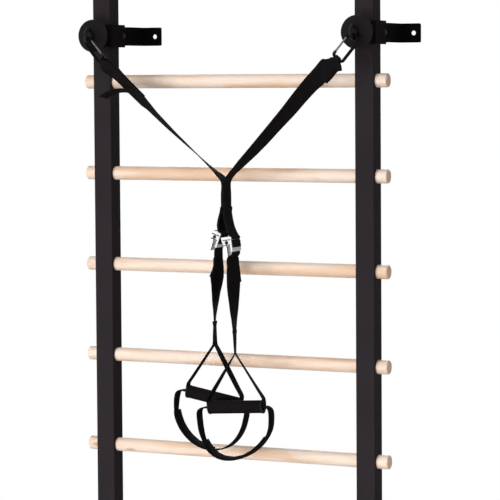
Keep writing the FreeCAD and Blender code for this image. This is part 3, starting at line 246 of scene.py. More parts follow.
def makeBeech():
    # beech: broad growth tone, fine streaks, short ray flecks, a small knot now and then
    made = beechGrain
    tree, start, end = startGroup("beechFigure", {"Pitch": made["pitch"], "First": made["first"]},
                                  ("Tone", "Streak", "Fleck", "Knot", "Rings", "End"))
    place = addNode(tree, "TexCoord").outputs["Object"]
    warp = addNode(tree, "TexNoise", {"Vector": stretched(tree, made["warp"]), "Scale": 1.0,
                                      "Detail": 2.0}).outputs["Color"]
    bent = addNode(tree, "VectorMath", {0: stretched(tree, made["tone"]), 1: warp}, operation="ADD")
    tone = noise(tree, bent.outputs[0], 1.0, 4.0, 0.55)
    streak = noise(tree, stretched(tree, made["streak"]), 1.0, 4.0, 0.6)
    fleck = band(tree, noise(tree, stretched(tree, made["fleck"]), 1.0, 1.0), *made["fleckBand"])
    cells = addNode(tree, "TexVoronoi", {"Vector": stretched(tree, made["knot"]), "Scale": 1.0,
                                         "Randomness": 1.0})
    knot = calc(tree, "SUBTRACT", 1.0, band(tree, cells.outputs["Distance"], *made["knotBand"]))
    split = addNode(tree, "SeparateXYZ", {"Vector": place})
    fromRung = calc(tree, "SUBTRACT", calc(tree, "FLOORED_MODULO", calc(
        tree, "ADD", calc(tree, "SUBTRACT", split.outputs["Z"], start.outputs["First"]),
        calc(tree, "MULTIPLY", start.outputs["Pitch"], 0.5)), start.outputs["Pitch"]),
        calc(tree, "MULTIPLY", start.outputs["Pitch"], 0.5))
    offset = addNode(tree, "CombineXYZ", {
        "X": calc(tree, "ADD", split.outputs["Y"], made["heartY"]),
        "Y": calc(tree, "ADD", fromRung, made["heartZ"])})
    reach = addNode(tree, "VectorMath", {0: offset.outputs[0]}, operation="LENGTH").outputs["Value"]
    rings = calc(tree, "SINE", calc(tree, "MULTIPLY", calc(tree, "ADD", reach, calc(
        tree, "MULTIPLY", noise(tree, place, 60.0), made["ringWaver"])), made["rings"]))
    isEnd = band(tree, calc(tree, "ABSOLUTE", split.outputs["X"]), made["endFrom"], made["endTo"])
    return endGroup(tree, end, Tone=tone, Streak=streak, Fleck=fleck, Knot=knot, Rings=rings,
                    End=isEnd)


plateGrain = {"scratch": (900, 60, 900), "cloud": 90.0}


def makeBrush():
    # plated steel: short scratches one way, slow cloudiness
    tree, start, end = startGroup("plateBrush", {"Fine": 1.0}, ("Scratch", "Cloud"))
    grooveShades = addNode(tree, "TexNoise", {"Vector": stretched(tree, plateGrain["scratch"]),
                                       "Scale": start.outputs["Fine"], "Detail": 4.0})
    cloud = noise(tree, stretched(tree, (1, 1, 1)), plateGrain["cloud"], 3.0)
    return endGroup(tree, end, Scratch=grooveShades.outputs["Fac"], Cloud=cloud)


groups = {"coatPeel": makeCoatPeel(), "edgeWear": makeEdgeWear(), "webWeave": makeWeave(),
          "beechFigure": makeBeech(), "plateBrush": makeBrush()}
print("shader groups made")


# materials

def newMaterial(name, **values):
    material = bpy.data.materials.new(name)
    material.use_nodes = True
    tree = material.node_tree
    shader = next(n for n in tree.nodes if n.type == "BSDF_PRINCIPLED")
    for key, value in values.items():
        shader.inputs[key.replace("_", " ")].default_value = value
    return material, tree, shader


def useGroup(tree, name, **inputs):
    node = tree.nodes.new("ShaderNodeGroup")
    node.node_tree = groups[name]
    for key, value in inputs.items():
        node.inputs[key].default_value = value
    return node


def colourInto(tree, shader, colour, uneven, share, least):
    tree.links.new(colour, shader.inputs["Base Color"])
    rough = calc(tree, "MULTIPLY_ADD", uneven, share, least)
    tree.links.new(rough, shader.inputs["Roughness"])


def bumpInto(tree, shader, height, strength, distance):
    bump = addNode(tree, "Bump", {"Height": height, "Strength": strength, "Distance": distance})
    tree.links.new(bump.outputs["Normal"], shader.inputs["Normal"])


# the last value of each coat is the half height of the part whose upper and lower edges get a
# painted highlight
coats = {
    # the tube coat is lifted well above the black coat's own tone: a painted sheen on the front
    # faces
    "tubeCoatPaintedSheen": {"dark": (0.0205, 0.0167, 0.0188, 1), "light": (0.0305, 0.0251, 0.0280, 1),
                 "rough": 0.42, "gloss": 0.004, "wearAndEdgeHighlight": None},
    "bracketCoat": {"dark": (0.0055, 0.0045, 0.0050, 1), "light": (0.0090, 0.0076, 0.0083, 1),
                    "rough": 0.48, "gloss": 0.004, "wearAndEdgeHighlight": 0.029},
    "armCoat": {"dark": (0.0035, 0.0029, 0.0032, 1), "light": (0.0058, 0.0049, 0.0054, 1),
                "rough": 0.50, "gloss": 0.004, "wearAndEdgeHighlight": 0.024},
    "hornCoat": {"dark": (0.0100, 0.0086, 0.0095, 1), "light": (0.0170, 0.0146, 0.0160, 1),
                 "rough": 0.42, "gloss": 0.008, "wearAndEdgeHighlight": 0.039},
    "hookCoat": {"dark": (0.0035, 0.0030, 0.0032, 1), "light": (0.0055, 0.0049, 0.0052, 1),
                 "rough": 0.32, "gloss": 0.02, "wearAndEdgeHighlight": None},
}


# the lighter colour laid on the edges is a painted highlight; the specks are real dust
coatMarks = {"dust": (0.06, 0.057, 0.058, 1), "dustShare": 0.25, "edgeHighlight": (0.05, 0.048, 0.049, 1),
             "edgeHighlightShare": 0.4, "peel": 0.25, "peelDepth": 0.00025}


def makeCoat(name, coat):
    material, tree, shader = newMaterial(name, Roughness=coat["rough"],
                                         Specular_IOR_Level=coat["gloss"],
                                         Specular_Tint=(1.0, 0.86, 0.95, 1))
    marks, peel = coatMarks, useGroup(tree, "coatPeel")
    colour = mixColour(tree, peel.outputs["Tone"], coat["dark"], coat["light"])
    colour = laidOver(tree, colour, peel.outputs["Specks"], marks["dustShare"], marks["dust"])
    # painted highlight: the upper and lower edges of the part are lightened
    if coat["wearAndEdgeHighlight"]:
        wearAndEdgeHighlight = useGroup(tree, "edgeWear", Half=coat["wearAndEdgeHighlight"])
        colour = laidOver(tree, colour, wearAndEdgeHighlight.outputs["Wear"], marks["edgeHighlightShare"], marks["edgeHighlight"])
    colourInto(tree, shader, colour, peel.outputs["Tone"], 0.12, coat["rough"] - 0.06)
    bumpInto(tree, shader, peel.outputs["Height"], marks["peel"], marks["peelDepth"])
    return material


wood = {
    "dark": (0.77, 0.53, 0.37, 1), "light": (0.86, 0.71, 0.60, 1), "toneBand": (0.34, 0.56),
    "streak": (0.70, 0.50, 0.37, 1), "streakBand": (0.48, 0.72), "streakShare": 0.35,
    "fleck": (0.55, 0.36, 0.25, 1), "fleckShare": 0.30,
    "knot": (0.42, 0.22, 0.12, 1), "knotShare": 0.75,
    # the end-grain colours are lifted to make up for the little light on the rung ends: painted
    # light over the real growth rings
    "endDark": (0.80, 0.53, 0.36, 1), "endLight": (0.94, 0.70, 0.52, 1),
    "rough": 0.48, "gloss": 0.14,
}


def makeWood(name):
    material, tree, shader = newMaterial(name, Roughness=wood["rough"],
                                         Specular_IOR_Level=wood["gloss"])
    beech = useGroup(tree, "beechFigure")
    tone = band(tree, beech.outputs["Tone"], *wood["toneBand"])
    colour = mixColour(tree, tone, wood["dark"], wood["light"])
    streak = band(tree, beech.outputs["Streak"], *wood["streakBand"])
    for mask, kind in ((streak, "streak"), (beech.outputs["Fleck"], "fleck"),
                       (beech.outputs["Knot"], "knot")):
        colour = laidOver(tree, colour, mask, wood[kind + "Share"], wood[kind])
    # real end-grain rings in lifted colours: painted light on the rung ends
    endGrainPaintedLight = mixColour(tree, calc(tree, "MULTIPLY_ADD", beech.outputs["Rings"], 0.3, 0.5),
                     wood["endDark"], wood["endLight"])
    colour = mixColour(tree, beech.outputs["End"], colour, endGrainPaintedLight)
    colourInto(tree, shader, colour, beech.outputs["Streak"], 0.2, wood["rough"] - 0.1)
    bumpInto(tree, shader, beech.outputs["Streak"], 0.2, 0.0003)
    return material


blackWeb = {"dark": (0.0010, 0.0008, 0.0009, 1), "light": (0.0142, 0.0123, 0.0130, 1)}
webs = {
    "webbing": dict(blackWeb, half=0.023),
    "narrowWebbing": dict(blackWeb, half=0.011),
    "padCover": {"dark": (0.0012, 0.0010, 0.0011, 1), "light": (0.0125, 0.0108, 0.0116, 1),
                 "half": 0.019},
}
webMarks = {"rough": 0.9, "gloss": 0.02, "lint": (0.10, 0.095, 0.095, 1), "lintShare": 0.25,
            "rib": 0.6, "ribDepth": 0.0004}


def makeWebbing(name, web):
    material, tree, shader = newMaterial(name, Roughness=webMarks["rough"],
                                         Specular_IOR_Level=webMarks["gloss"])
    weave = useGroup(tree, "webWeave", Half=web["half"])
    colour = mixColour(tree, weave.outputs["Shade"], web["dark"], web["light"])
    colour = laidOver(tree, colour, weave.outputs["Lint"], webMarks["lintShare"],
                      webMarks["lint"])
    tree.links.new(colour, shader.inputs["Base Color"])
    bumpInto(tree, shader, weave.outputs["Height"], webMarks["rib"], webMarks["ribDepth"])
    return material


steels = {
    "buckleSteel": {"dark": (0.52, 0.52, 0.53, 1), "light": (0.66, 0.66, 0.67, 1), "rough": 0.50,
                    "metal": 0.2},
    "leverSteel": {"dark": (0.80, 0.80, 0.81, 1), "light": (0.92, 0.92, 0.93, 1), "rough": 0.50,
                   "metal": 1.0},
    # the gate's steel colour is darkened far below bright steel: a painted dark reflection
    "gateSteelDarkReflection": {"dark": (0.02, 0.02, 0.021, 1), "light": (0.12, 0.12, 0.124, 1), "rough": 0.20,
                  "metal": 1.0},
}


def makeSteel(name, steel):
    material, tree, shader = newMaterial(name, Roughness=steel["rough"], Metallic=steel["metal"])
    brush = useGroup(tree, "plateBrush")
    colour = mixColour(tree, brush.outputs["Cloud"], steel["dark"], steel["light"])
    colourInto(tree, shader, colour, brush.outputs["Scratch"], 0.25, steel["rough"] - 0.1)
    bumpInto(tree, shader, brush.outputs["Scratch"], 0.12, 0.0001)
    return material


plastics = {
    "capPlastic": {"dark": (0.005, 0.0046, 0.0048, 1), "light": (0.010, 0.0095, 0.0098, 1),
                   "rough": 0.55, "gloss": 0.05, "grain": 1400.0, "depth": 0.0002},
    "ringPlastic": {"dark": (0.009, 0.008, 0.0085, 1), "light": (0.018, 0.0165, 0.017, 1),
                    "rough": 0.45, "gloss": 0.04, "grain": 900.0, "depth": 0.0002},
    "gripFoam": {"dark": (0.0045, 0.0037, 0.0041, 1), "light": (0.0105, 0.009, 0.0098, 1),
                 "rough": 0.9, "gloss": 0.03, "grain": 1100.0, "depth": 0.0007},
    "blackBolt": {"dark": (0.004, 0.0035, 0.0038, 1), "light": (0.009, 0.0082, 0.0086, 1),
                  "rough": 0.40, "gloss": 0.08, "grain": 600.0, "depth": 0.0001},
    "thread": {"dark": (0.009, 0.008, 0.0085, 1), "light": (0.020, 0.018, 0.019, 1),
               "rough": 0.75, "gloss": 0.03, "grain": 2500.0, "depth": 0.0002},
}


def makePlastic(name, plastic):
    material, tree, shader = newMaterial(name, Roughness=plastic["rough"],
                                         Specular_IOR_Level=plastic["gloss"])
    peel = useGroup(tree, "coatPeel", Grain=plastic["grain"])
    colour = mixColour(tree, peel.outputs["Tone"], plastic["dark"], plastic["light"])
    colourInto(tree, shader, colour, peel.outputs["Height"], 0.15, plastic["rough"] - 0.07)
    bumpInto(tree, shader, peel.outputs["Height"], 0.7, plastic["depth"])
    return material


finish = {name: makeCoat(name, coat) for name, coat in coats.items()}
finish.update({name: makeWebbing(name, web) for name, web in webs.items()})
finish.update({name: makeSteel(name, steel) for name, steel in steels.items()})
finish.update({name: makePlastic(name, plastic) for name, plastic in plastics.items()})
finish["beech"] = makeWood("beech")

finishOfNode = [
    ("upright_", "tubeCoatPaintedSheen"), ("clamp_collar", "bracketCoat"), ("wall_arm", "armCoat"),
    ("horn_disc", "hornCoat"), ("eye_bolt", "blackBolt"), ("clamp_bolts", "blackBolt"),
    ("hex_nuts", "blackBolt"), ("rung_screws", "blackBolt"), ("rung_", "beech"),
    ("top_cap", "capPlastic"), ("foot_cap", "capPlastic"), ("carabiner", "hookCoat"),
    ("gate", "gateSteelDarkReflection"), ("buckle_frame", "buckleSteel"), ("cam_lever", "leverSteel"),
    ("cam_pin", "blackBolt"), ("grip_core", "ringPlastic"),
]
for nodeName, node in nodes.items():
    chosen = next((coat for start, coat in finishOfNode if nodeName.startswith(start)), "webbing")
    node.data.materials.clear()
    node.data.materials.append(finish[chosen])
print("materials on", len(nodes), "packed nodes")


# flat straps

def acrossAt(down, turn):
    # the strap lies flat in the upright plane at turn 0, and stands square to it at 90
    flat = down.cross(yAxis).normalized()
    angle = math.radians(turn)
    return flat * math.cos(angle) + yAxis * math.sin(angle)


def flatRun(points, width, lift=0.0):
    # points are (x, y, z, turn) in mm along the strap, downwards
    places = [mm(*point[:3]) for point in points]
    stations = []
    for index, place in enumerate(places):
        before, after = places[max(index - 1, 0)], places[min(index + 1, len(places) - 1)]
        down = (after - before).normalized()
        across = acrossAt(down, points[index][3])
        through = down.cross(across).normalized()
        stations.append((place + through * lift / 1000, across, width / 1000))
    return stations


def evenRun(stations, step):
    # a point, its across direction and its width every few millimetres
    runs = []
    last = len(stations) - 1
    tangents = []
    for index in range(len(stations)):
        before, after = stations[max(index - 1, 0)][0], stations[min(index + 1, last)][0]
        tangents.append((after - before).normalized())
    for index in range(last):
        first, second = stations[index], stations[index + 1]
        span = (second[0] - first[0]).length
        count = max(1, round(span * 1000 / step))
        curve = interpolate_bezier(first[0], first[0] + tangents[index] * span / 3,
                                   second[0] - tangents[index + 1] * span / 3, second[0], count + 1)
        for part in range(count):
            share = part / count
            runs.append((curve[part], first[1].lerp(second[1], share).normalized(),
                         first[2] + (second[2] - first[2]) * share))
    runs.append(stations[-1])
    return runs


def layStrap(name, stations, ply, step=5.0):
    runs = evenRun(stations, step)
    clearSelection()
    bpy.ops.mesh.primitive_grid_add(x_subdivisions=6, y_subdivisions=len(runs) - 1, size=1)
    strap = bpy.context.object
    strap.name = name
    lengths = [0.0]
    for before, here in zip(runs, runs[1:]):
        lengths.append(lengths[-1] + (here[0] - before[0]).length)
    mesh = strap.data
    spots = [(v.co.x, round((v.co.y + 0.5) * (len(runs) - 1))) for v in mesh.vertices]
    woven = mesh.uv_layers.active
    for loop in mesh.loops:
        share, row = spots[loop.vertex_index]
        woven.data[loop.index].uv = (share * runs[row][2], lengths[row])
    for v, (share, row) in zip(mesh.vertices, spots):
        point, across, width = runs[row]
        v.co = point + across * (width * share)
    addModifier(strap, "SOLIDIFY", thickness=ply / 1000, offset=0)
    addModifier(strap, "BEVEL", width=ply / 4000, segments=2, limit_method="ANGLE",
                angle_limit=math.radians(50))
    tidyShell(strap, 50)
    return strap, runs


stitch = {"long": 3.4, "thick": 1.0, "pitch": 4.2}


def stitchShape():
    # one stitch: a short plump thread sunk at both ends
    clearSelection()
    bpy.ops.mesh.primitive_uv_sphere_add(segments=8, ring_count=5, radius=0.5)
    thread = bpy.context.object
    bpy.ops.object.mode_set(mode="EDIT")
    bpy.ops.mesh.select_all(action="SELECT")
    thick = stitch["thick"] / 1000
    bpy.ops.transform.resize(value=(stitch["long"] / 1000, thick, thick))
    bpy.ops.object.mode_set(mode="OBJECT")
    return thread


def seamSpots(runs, box, ply, face):
    # box is (from, to, inset) in mm along the strap: a sewn rectangle with a cross in it
    start, end, inset = box
    lengths = [0.0]
    for before, here in zip(runs, runs[1:]):
        lengths.append(lengths[-1] + (here[0] - before[0]).length * 1000)

    def spot(along, share):
        row = max(k for k, reach in enumerate(lengths) if reach <= along + 1e-6)
        row = min(row, len(runs) - 2)
        blend = (along - lengths[row]) / max(lengths[row + 1] - lengths[row], 1e-6)
        point = runs[row][0].lerp(runs[row + 1][0], blend)
        across = runs[row][1].lerp(runs[row + 1][1], blend).normalized()
        down = (runs[row + 1][0] - runs[row][0]).normalized()
        through = down.cross(across).normalized() * face
        width = runs[row][2] - 2 * inset / 1000
        return point + across * width * share + through * ply / 2000, through

    corners = [(start, -0.5), (start, 0.5), (end, 0.5), (end, -0.5)]
    rows = list(zip(corners, corners[1:] + corners[:1])) + [(corners[0], corners[2]),
                                                            (corners[1], corners[3])]
    spots = []
    for (a0, s0), (a1, s1) in rows:
        span = math.hypot(a1 - a0, (s1 - s0) * (runs[0][2] * 1000 - 2 * inset))
        count = max(2, round(span / stitch["pitch"]))
        for k in range(count):
            here, normal = spot(a0 + (a1 - a0) * k / count, s0 + (s1 - s0) * k / count)
            there, _ = spot(a0 + (a1 - a0) * (k + 1) / count, s0 + (s1 - s0) * (k + 1) / count)
            spots.append(((here + there) / 2, (there - here).normalized(), normal))
    return spots


def sewSeam(name, spots, body):
    thread = stitchShape()
    pieces = []
    for point, along, normal in spots:
        side = normal.cross(along).normalized()
        turned = Matrix((along, side, along.cross(side))).transposed().to_4x4()
        copy = thread.copy()
        copy.data = thread.data.copy()
        bpy.context.collection.objects.link(copy)
        copy.data.transform(Matrix.Translation(point) @ turned)
        pieces.append(copy)
    bpy.data.objects.remove(thread)
    clearSelection()
    for piece in pieces:
        piece.select_set(True)
    bpy.context.view_layer.objects.active = pieces[0]
    bpy.ops.object.join()
    seam = bpy.context.object
    seam.name = name
    bpy.ops.object.shade_smooth()
    finishPiece(seam, finish["thread"], body, "webbing")
    return seam


upperStraps = {
    "ply": 2.4, "width": 46.0, "eyeWidth": 14.0, "wrapRadius": 5.55, "plyGap": 0.07,
    "wrap": (200, 170, 140, 110, 90, 70, 40, 10, -20), "yokeSeam": (4.0, 60.0, 4.5),
    "neck": ((18.0, 3.3, 0.97), (9.0, 5.2, 0.72)),  # below the bar, off the middle, share of width
    "right": {
        "bar": (321.52, -256.0, 641.02), "barAlong": (0.7604, 0, -0.6494),
        "barUp": (0.6494, 0, 0.7604),
        "turn": 33, "backSlip": (6.0, 6.0, 6.0, 6.0), "foldSeam": (6.0, 38.0, 5.0),
        "fold": [(300.5, -256, 627, 33), (284.5, -256, 610.5, 32), (270.5, -256, 596.5, 34)],
        "run": [(248, -256, 575, 47), (222, -256, 547.7, 53), (190, -256, 512, 59),
                (155.6, -256, 476.4, 66), (120, -256, 439, 70), (87.5, -256, 406.5, 76),
                (69.6, -256, 389.4, 80), (51, -256, 371, 86), (36, -256, 356, 90),
                (24.2, -256, 338.5, 90), (24.2, -256, 306, 90), (24.2, -256, 274, 90)]},
    "left": {
        "bar": (-322.65, -256.0, 641.51), "barAlong": (-0.6496, 0.5299, -0.5451),
        "barUp": (-0.6428, 0, 0.7660), "turn": -33,
        "backSlip": (14.0, 12.0, 7.0, 3.0, 0.0), "foldSeam": (24.0, 56.0, 5.0),
        "fold": [(-292, -256, 613.5, -43), (-269.5, -256, 594.4, -46), (-251.6, -256, 578.5, -44),
                 (-206.5, -256, 539.5, -44)],
        "run": [(-196, -256, 529, -50), (-168, -256, 502, -57), (-141.5, -256, 478, -60),
                (-110, -256, 450.5, -65), (-80, -256, 425.3, -68), (-56, -256, 405, -71),
                (-31, -256, 384, -74), (-11, -256, 367.5, -79), (4, -256, 355, -86),
                (18.8, -256, 338.5, -90), (18.8, -256, 306, -90), (18.8, -256, 274, -90)]},
}
looseTail = {
    "width": 38.0, "ply": 2.4,
    "run": [(-208, -252.5, 540.5, 47), (-222, -252.5, 551.5, 48), (-240, -252.5, 561, 61),
            (-256, -252.5, 565, 73), (-275, -252.5, 565.5, 77), (-290, -252.5, 563, 79),
            (-303, -252.5, 559, 80), (-315, -252.5, 553, 80), (-323, -252.5, 548, 80)],
}


def hangUpperStrap(side):
    # up the back ply, round the bar of the hook, and down the front ply to the yoke
    sizes, made = upperStraps, upperStraps[side]
    up, along = Vector(made["barUp"]), Vector(made["barAlong"])
    across = acrossAt(-up, made["turn"])
    near = (-up).cross(across).normalized()
    towards = along.cross(up).normalized()
    if towards.dot(near) < 0:
        towards = -towards
    barAcross = along if along.dot(across) > 0 else -along
    bar, wide, half = mm(*made["bar"]), sizes["width"] / 1000, sizes["ply"] / 2 + sizes["plyGap"]
    turned = across.lerp(barAcross, 0.4).normalized()
    front = flatRun(made["fold"] + made["run"], sizes["width"], half)
    middle = flatRun(made["fold"] + made["run"], sizes["width"])
    count = len(made["fold"])
    front = front[:count] + middle[count:]
    back = flatRun(made["fold"], sizes["width"], -half)[::-1]
    slips = made["backSlip"]
    path = [(point + flat * slip / 1000, flat, width)
            for (point, flat, width), slip in zip(back, slips[:0:-1])]
    for drop, apart, narrow in sizes["neck"]:
        slip = slips[0] * drop / sizes["neck"][0][0] / 1000
        path.append((bar - up * drop / 1000 - near * apart / 1000 + across * slip, turned,
                     wide * narrow))
    for angle in sizes["wrap"]:
        t = math.radians(angle)
        path.append((bar + (towards * math.cos(t) + up * math.sin(t)) * sizes["wrapRadius"] / 1000,
                     barAcross, sizes["eyeWidth"] / 1000))
    for drop, apart, narrow in sizes["neck"][::-1]:
        path.append((bar - up * drop / 1000 + near * apart / 1000, turned, wide * narrow))
    path += front
    strap, runs = layStrap("upperStrap_" + side, path, sizes["ply"], 4.0)
    finishPiece(strap, finish["webbing"], "harness", "webbing", "upper_strap_" + side)
    return runs


def partOf(runs, start, end):
    # the stations of a run between the places nearest to two points, both in mm
    near = [min(range(len(runs)), key=lambda k: (runs[k][0] - mm(*spot)).length)
            for spot in (start, end)]
    return runs[near[0]:near[1] + 1]


for side in sides:
    strapRuns = hangUpperStrap(side)
    made, ply = upperStraps[side], upperStraps["ply"]
    front = partOf(strapRuns, made["bar"], made["run"][-1][:3])
    lap = partOf(front, made["fold"][-2][:3] if side == "left" else made["fold"][0][:3],
                 made["fold"][-1][:3])
    sewSeam("foldSeam_" + side, seamSpots(lap, made["foldSeam"], ply, 1), "harness")
    low = partOf(front, made["run"][-3][:3], made["run"][-1][:3])
    sewSeam("yokeSeam_" + side, seamSpots(low, upperStraps["yokeSeam"], ply, 1), "harness")
tail = layStrap("looseTail", flatRun(looseTail["run"], looseTail["width"]), looseTail["ply"],
                4.0)[0]
finishPiece(tail, finish["webbing"], "harness", "webbing")
print("upper straps hung")


buckles = {
    "left": {"pivot": (16.0, -256.0, 208.0), "tilt": 20.0},
    "right": {"pivot": (44.5, -256.0, 200.5), "tilt": -8.0},
}
yokeStrap = {
    "ply": 2.4, "width": 46.0, "coreWidth": 45.4, "x": 21.5, "top": 346.0, "seam": 268.0,
    "wrapRadius": 3.55, "wrap": (55, 20, -15, -50, -90, -130, -165, 160, 125), "plyOut": 1.25,
    "lapOut": 5.3, "lapUp": (8.5, 3), "rootOut": 1.3,
    "left": [(19, 270.5), (15.5, 262), (12.4, 252), (10, 242), (8.4, 231), (10.2, 219)],
    "right": [(24, 270.5), (24.6, 262), (26.2, 252), (28.2, 242), (30.8, 231), (36, 217)],
}


def buckleSpot(side, x, z, y=0.0):
    made = buckles[side]
    angle = math.radians(made["tilt"])
    px, py, pz = made["pivot"]
    return (px + x * math.cos(angle) + z * math.sin(angle), py + y,
            pz - x * math.sin(angle) + z * math.cos(angle))


def sewYoke():
    # a middle strap with the two upper straps on its faces, then one loop round each hinge bar
    made = yokeStrap
    core = flatRun([(made["x"], -256, z, 90) for z in (made["top"], 320, 294, made["seam"])],
                   made["coreWidth"])
    strap = layStrap("yokeCore", core, made["ply"], 6.0)[0]
    finishPiece(strap, finish["webbing"], "harness", "webbing", "yoke")
    for side, sign in sides.items():
        pivot = Vector(buckles[side]["pivot"])
        points = [(x, -256, z, 90) for x, z in made[side]]
        inner = flatRun(points, made["width"], -made["plyOut"])
        outer = flatRun(points, made["width"], made["plyOut"])
        last = Vector(points[-1][:3])
        away = (last - pivot).normalized()
        beside = yAxis.cross(away).normalized()
        if beside.x * sign < 0:
            beside = -beside
        wrap = []
        for angle in made["wrap"]:
            t = math.radians(angle)
            spot = pivot + (beside * math.cos(t) + away * math.sin(t)) * made["wrapRadius"]
            wrap.append((spot / 1000, inner[-1][1], made["width"] / 1000))
        lapX = made["x"] + sign * made["lapOut"]
        lap = flatRun([(lapX, -256, made["seam"] + z, 90) for z in made["lapUp"]], made["width"])
        rootX = made["x"] + sign * made["rootOut"]
        root = flatRun([(rootX, -256, made["seam"] - z, 90) for z in (4, 0)], made["width"])
        if sign < 0:
            outer, inner = inner, outer
        path = lap + outer[1:] + wrap + inner[:0:-1] + root
        web = layStrap("yokeWeb_" + side, path, made["ply"], 3.5)[0]
        finishPiece(web, finish["webbing"], "harness", "webbing", "yoke")


sewYoke()
print("yoke sewn")


legStraps = {
    "ply": 2.4, "width": 46.0, "runX": 2.55, "lip": -9.0, "tail": 15.0, "tuck": 6, "base": 34.0,
    "hem": (11.0, 1.5, 3.0),  # seam from and to, up from the end, and its distance from the edges
    "left": [(-1.7, -253.8, 150, 1), (-2.0, -251.8, 130, 4), (-5.6, -249.9, 112, 14),
             (-8.2, -248.7, 100, 20), (-10.2, -246.6, 80, 10), (-13.2, -244.5, 60, 1),
             (-15.6, -242.5, 40, -5), (-17.6, -240.4, 20, -13), (-19.8, -238.4, 0, -19),
             (-21.0, -237.0, -13, -22)],
    "right": [(38.3, -257.0, 150, 10), (40.2, -259.1, 130, 13), (41.9, -260.9, 112, 19),
              (43.1, -262.1, 100, 21), (44.0, -264.1, 80, 19), (45.2, -266.1, 60, 13),
              (46.7, -268.1, 40, 6), (47.9, -270.1, 20, 0), (49.2, -272.2, 0, -8),
              (51.2, -275.1, -29, -16)],
}


legLaps = {"lift": 2.5, "flare": 2.0, "width": 45.2, "left": legStraps["left"][:4],
           "right": legStraps["right"][:4] + [(43.6, -263.2, 89, 20)]}


def sewLegLap(side, sign):
    # the sewn-on second ply under the buckle, its loose end standing off a little
    points = [(x, y, z, 90 - turn) for x, y, z, turn in legLaps[side]]
    run = flatRun(points, legLaps["width"], legLaps["lift"] * sign)
    point, across, width = run[-1]
    run[-1] = (point + Vector((sign * legLaps["flare"] / 1000, 0, 0)), across, width)
    lap = layStrap("legLap_" + side, run, legStraps["ply"], 4.0)[0]
    finishPiece(lap, finish["webbing"], "leg_" + side, "webbing")


def hangLegStrap(side):
    # from the short end over the base plate, down behind the cam, to a hem at the narrow strap
    made = legStraps
    x, lip, wide = made["runX"], made["lip"], made["width"] / 1000
    path = []
    for z in (lip - made["tail"], lip - made["tuck"]):
        path.append((mm(*buckleSpot(side, x, z)), yAxis, wide))
    for angle in (0, 30, 60, 90, 120, 150, 180):
        t = math.radians(angle)
        path.append((mm(*buckleSpot(side, x * math.cos(t), lip + x * math.sin(t))), yAxis, wide))
    for z in (lip - made["tuck"], -made["base"] + 0.5, -made["base"] - made["tuck"]):
        path.append((mm(*buckleSpot(side, -x, z)), yAxis, wide))
    run = flatRun([(px, py, pz, 90 - turn) for px, py, pz, turn in made[side]], made["width"])
    strap, runs = layStrap("legStrap_" + side, path + run, made["ply"], 4.0)
    finishPiece(strap, finish["webbing"], "leg_" + side, "webbing", "leg_strap_" + side)
    end = partOf(runs, made[side][-2][:3], made[side][-1][:3])
    length = sum((b[0] - a[0]).length for a, b in zip(end, end[1:])) * 1000
    start, stop, inset = made["hem"]
    box = (max(0.5, length - start), length - stop, inset)
    sewSeam("legSeam_" + side, seamSpots(end, box, made["ply"], 1), "leg_" + side)


for side, sign in sides.items():
    hangLegStrap(side)
    sewLegLap(side, sign)
print("leg straps hung")


grips = {
    "length": 140.8, "radius": 16.0, "hole": 13.1, "cornerX": 75.6, "kneeZ": 17.5,
    "width": 22.0, "ply": 2.2, "plyGap": 0.05, "apexHalf": 1.4, "edgeRound": 1.1,
    "shares": (0.03, 0.2, 0.5, 0.8, 0.97),
    "corner": ((0, 12.5), (0, 5), (0.9, 1.4), (3, 0)),  # in from the corner, above the grip's axis
    "left": {"centre": (-27.6, -231, -206), "tilt": 10.0, "apex": (-19.7, 134.0),
             "stem": [(-21.0, -237.0, -12, 90), (-21.4, -236.3, -24, 104), (-22.6, -234.0, -45, 99),
                      (-23.9, -231.0, -71, 90)],
             "lean": {"left": (5, 5, 3, 1, 1), "right": (4, -3, -6, -4, -2)}},
    "right": {"centre": (57.6, -281, -218.3), "tilt": -3.8, "apex": (6.3, 131.6),
              "stem": [(51.2, -275.1, -28, 92), (51.8, -276.0, -38, 100), (53.2, -278.0, -58, 105),
                       (55.2, -281.0, -86, 110)],
              "lean": {"left": (15, 8, 0, -6, -6), "right": (17, 17, 14, 9, 5)}},
}


def gripSpot(side, x, z, y=0.0):
    made = grips[side]
    angle = math.radians(made["tilt"])
    cx, cy, cz = made["centre"]
    return Vector((cx + x * math.cos(angle) + z * math.sin(angle), cy + y,
                   cz - x * math.sin(angle) + z * math.cos(angle)))


def sewHandleStrap(side):
    # two plies side by side down to the apex, where they part and run through the grip
    sizes, made = grips, grips[side]
    apexX, apexZ = made["apex"]
    corner, knee, half = sizes["cornerX"], sizes["kneeZ"], sizes["ply"] / 2 + sizes["plyGap"]
    legs = []
    for sign, key in ((-1, "left"), (1, "right")):
        stem = flatRun(made["stem"], sizes["width"], half * sign)
        spots = [(point * 1000, None, across) for point, across, _ in stem]
        lean = made["lean"][key]
        for share, tilt in zip(sizes["shares"], lean):
            x = apexX + sign * sizes["apexHalf"] + (sign * corner - apexX) * share
            z = apexZ + (knee - apexZ) * share
            spots.append((gripSpot(side, x, z), tilt, None))
        for x, z in [(corner - inward, z) for inward, z in sizes["corner"]] + [(corner / 2, 0)]:
            spots.append((gripSpot(side, sign * x, z), 0.0, None))
        legs.append(spots)
    legs[0].append((gripSpot(side, 0, 0), 0.0, None))
    loop = legs[0] + legs[1][::-1]
    stations = []
    for index, (place, tilt, across) in enumerate(loop):
        before, after = loop[max(index - 1, 0)][0], loop[min(index + 1, len(loop) - 1)][0]
        down = (after - before).normalized()
        if down.z > 0:
            down = -down
        if across is None:
            across = acrossAt(down, 90 + tilt) if tilt else yAxis.copy()
        stations.append((place / 1000, across, sizes["width"] / 1000))
    strap = layStrap("handleStrap_" + side, stations, sizes["ply"], 3.5)[0]
    finishPiece(strap, finish["narrowWebbing"], "leg_" + side, "webbing", "handle_strap_" + side)


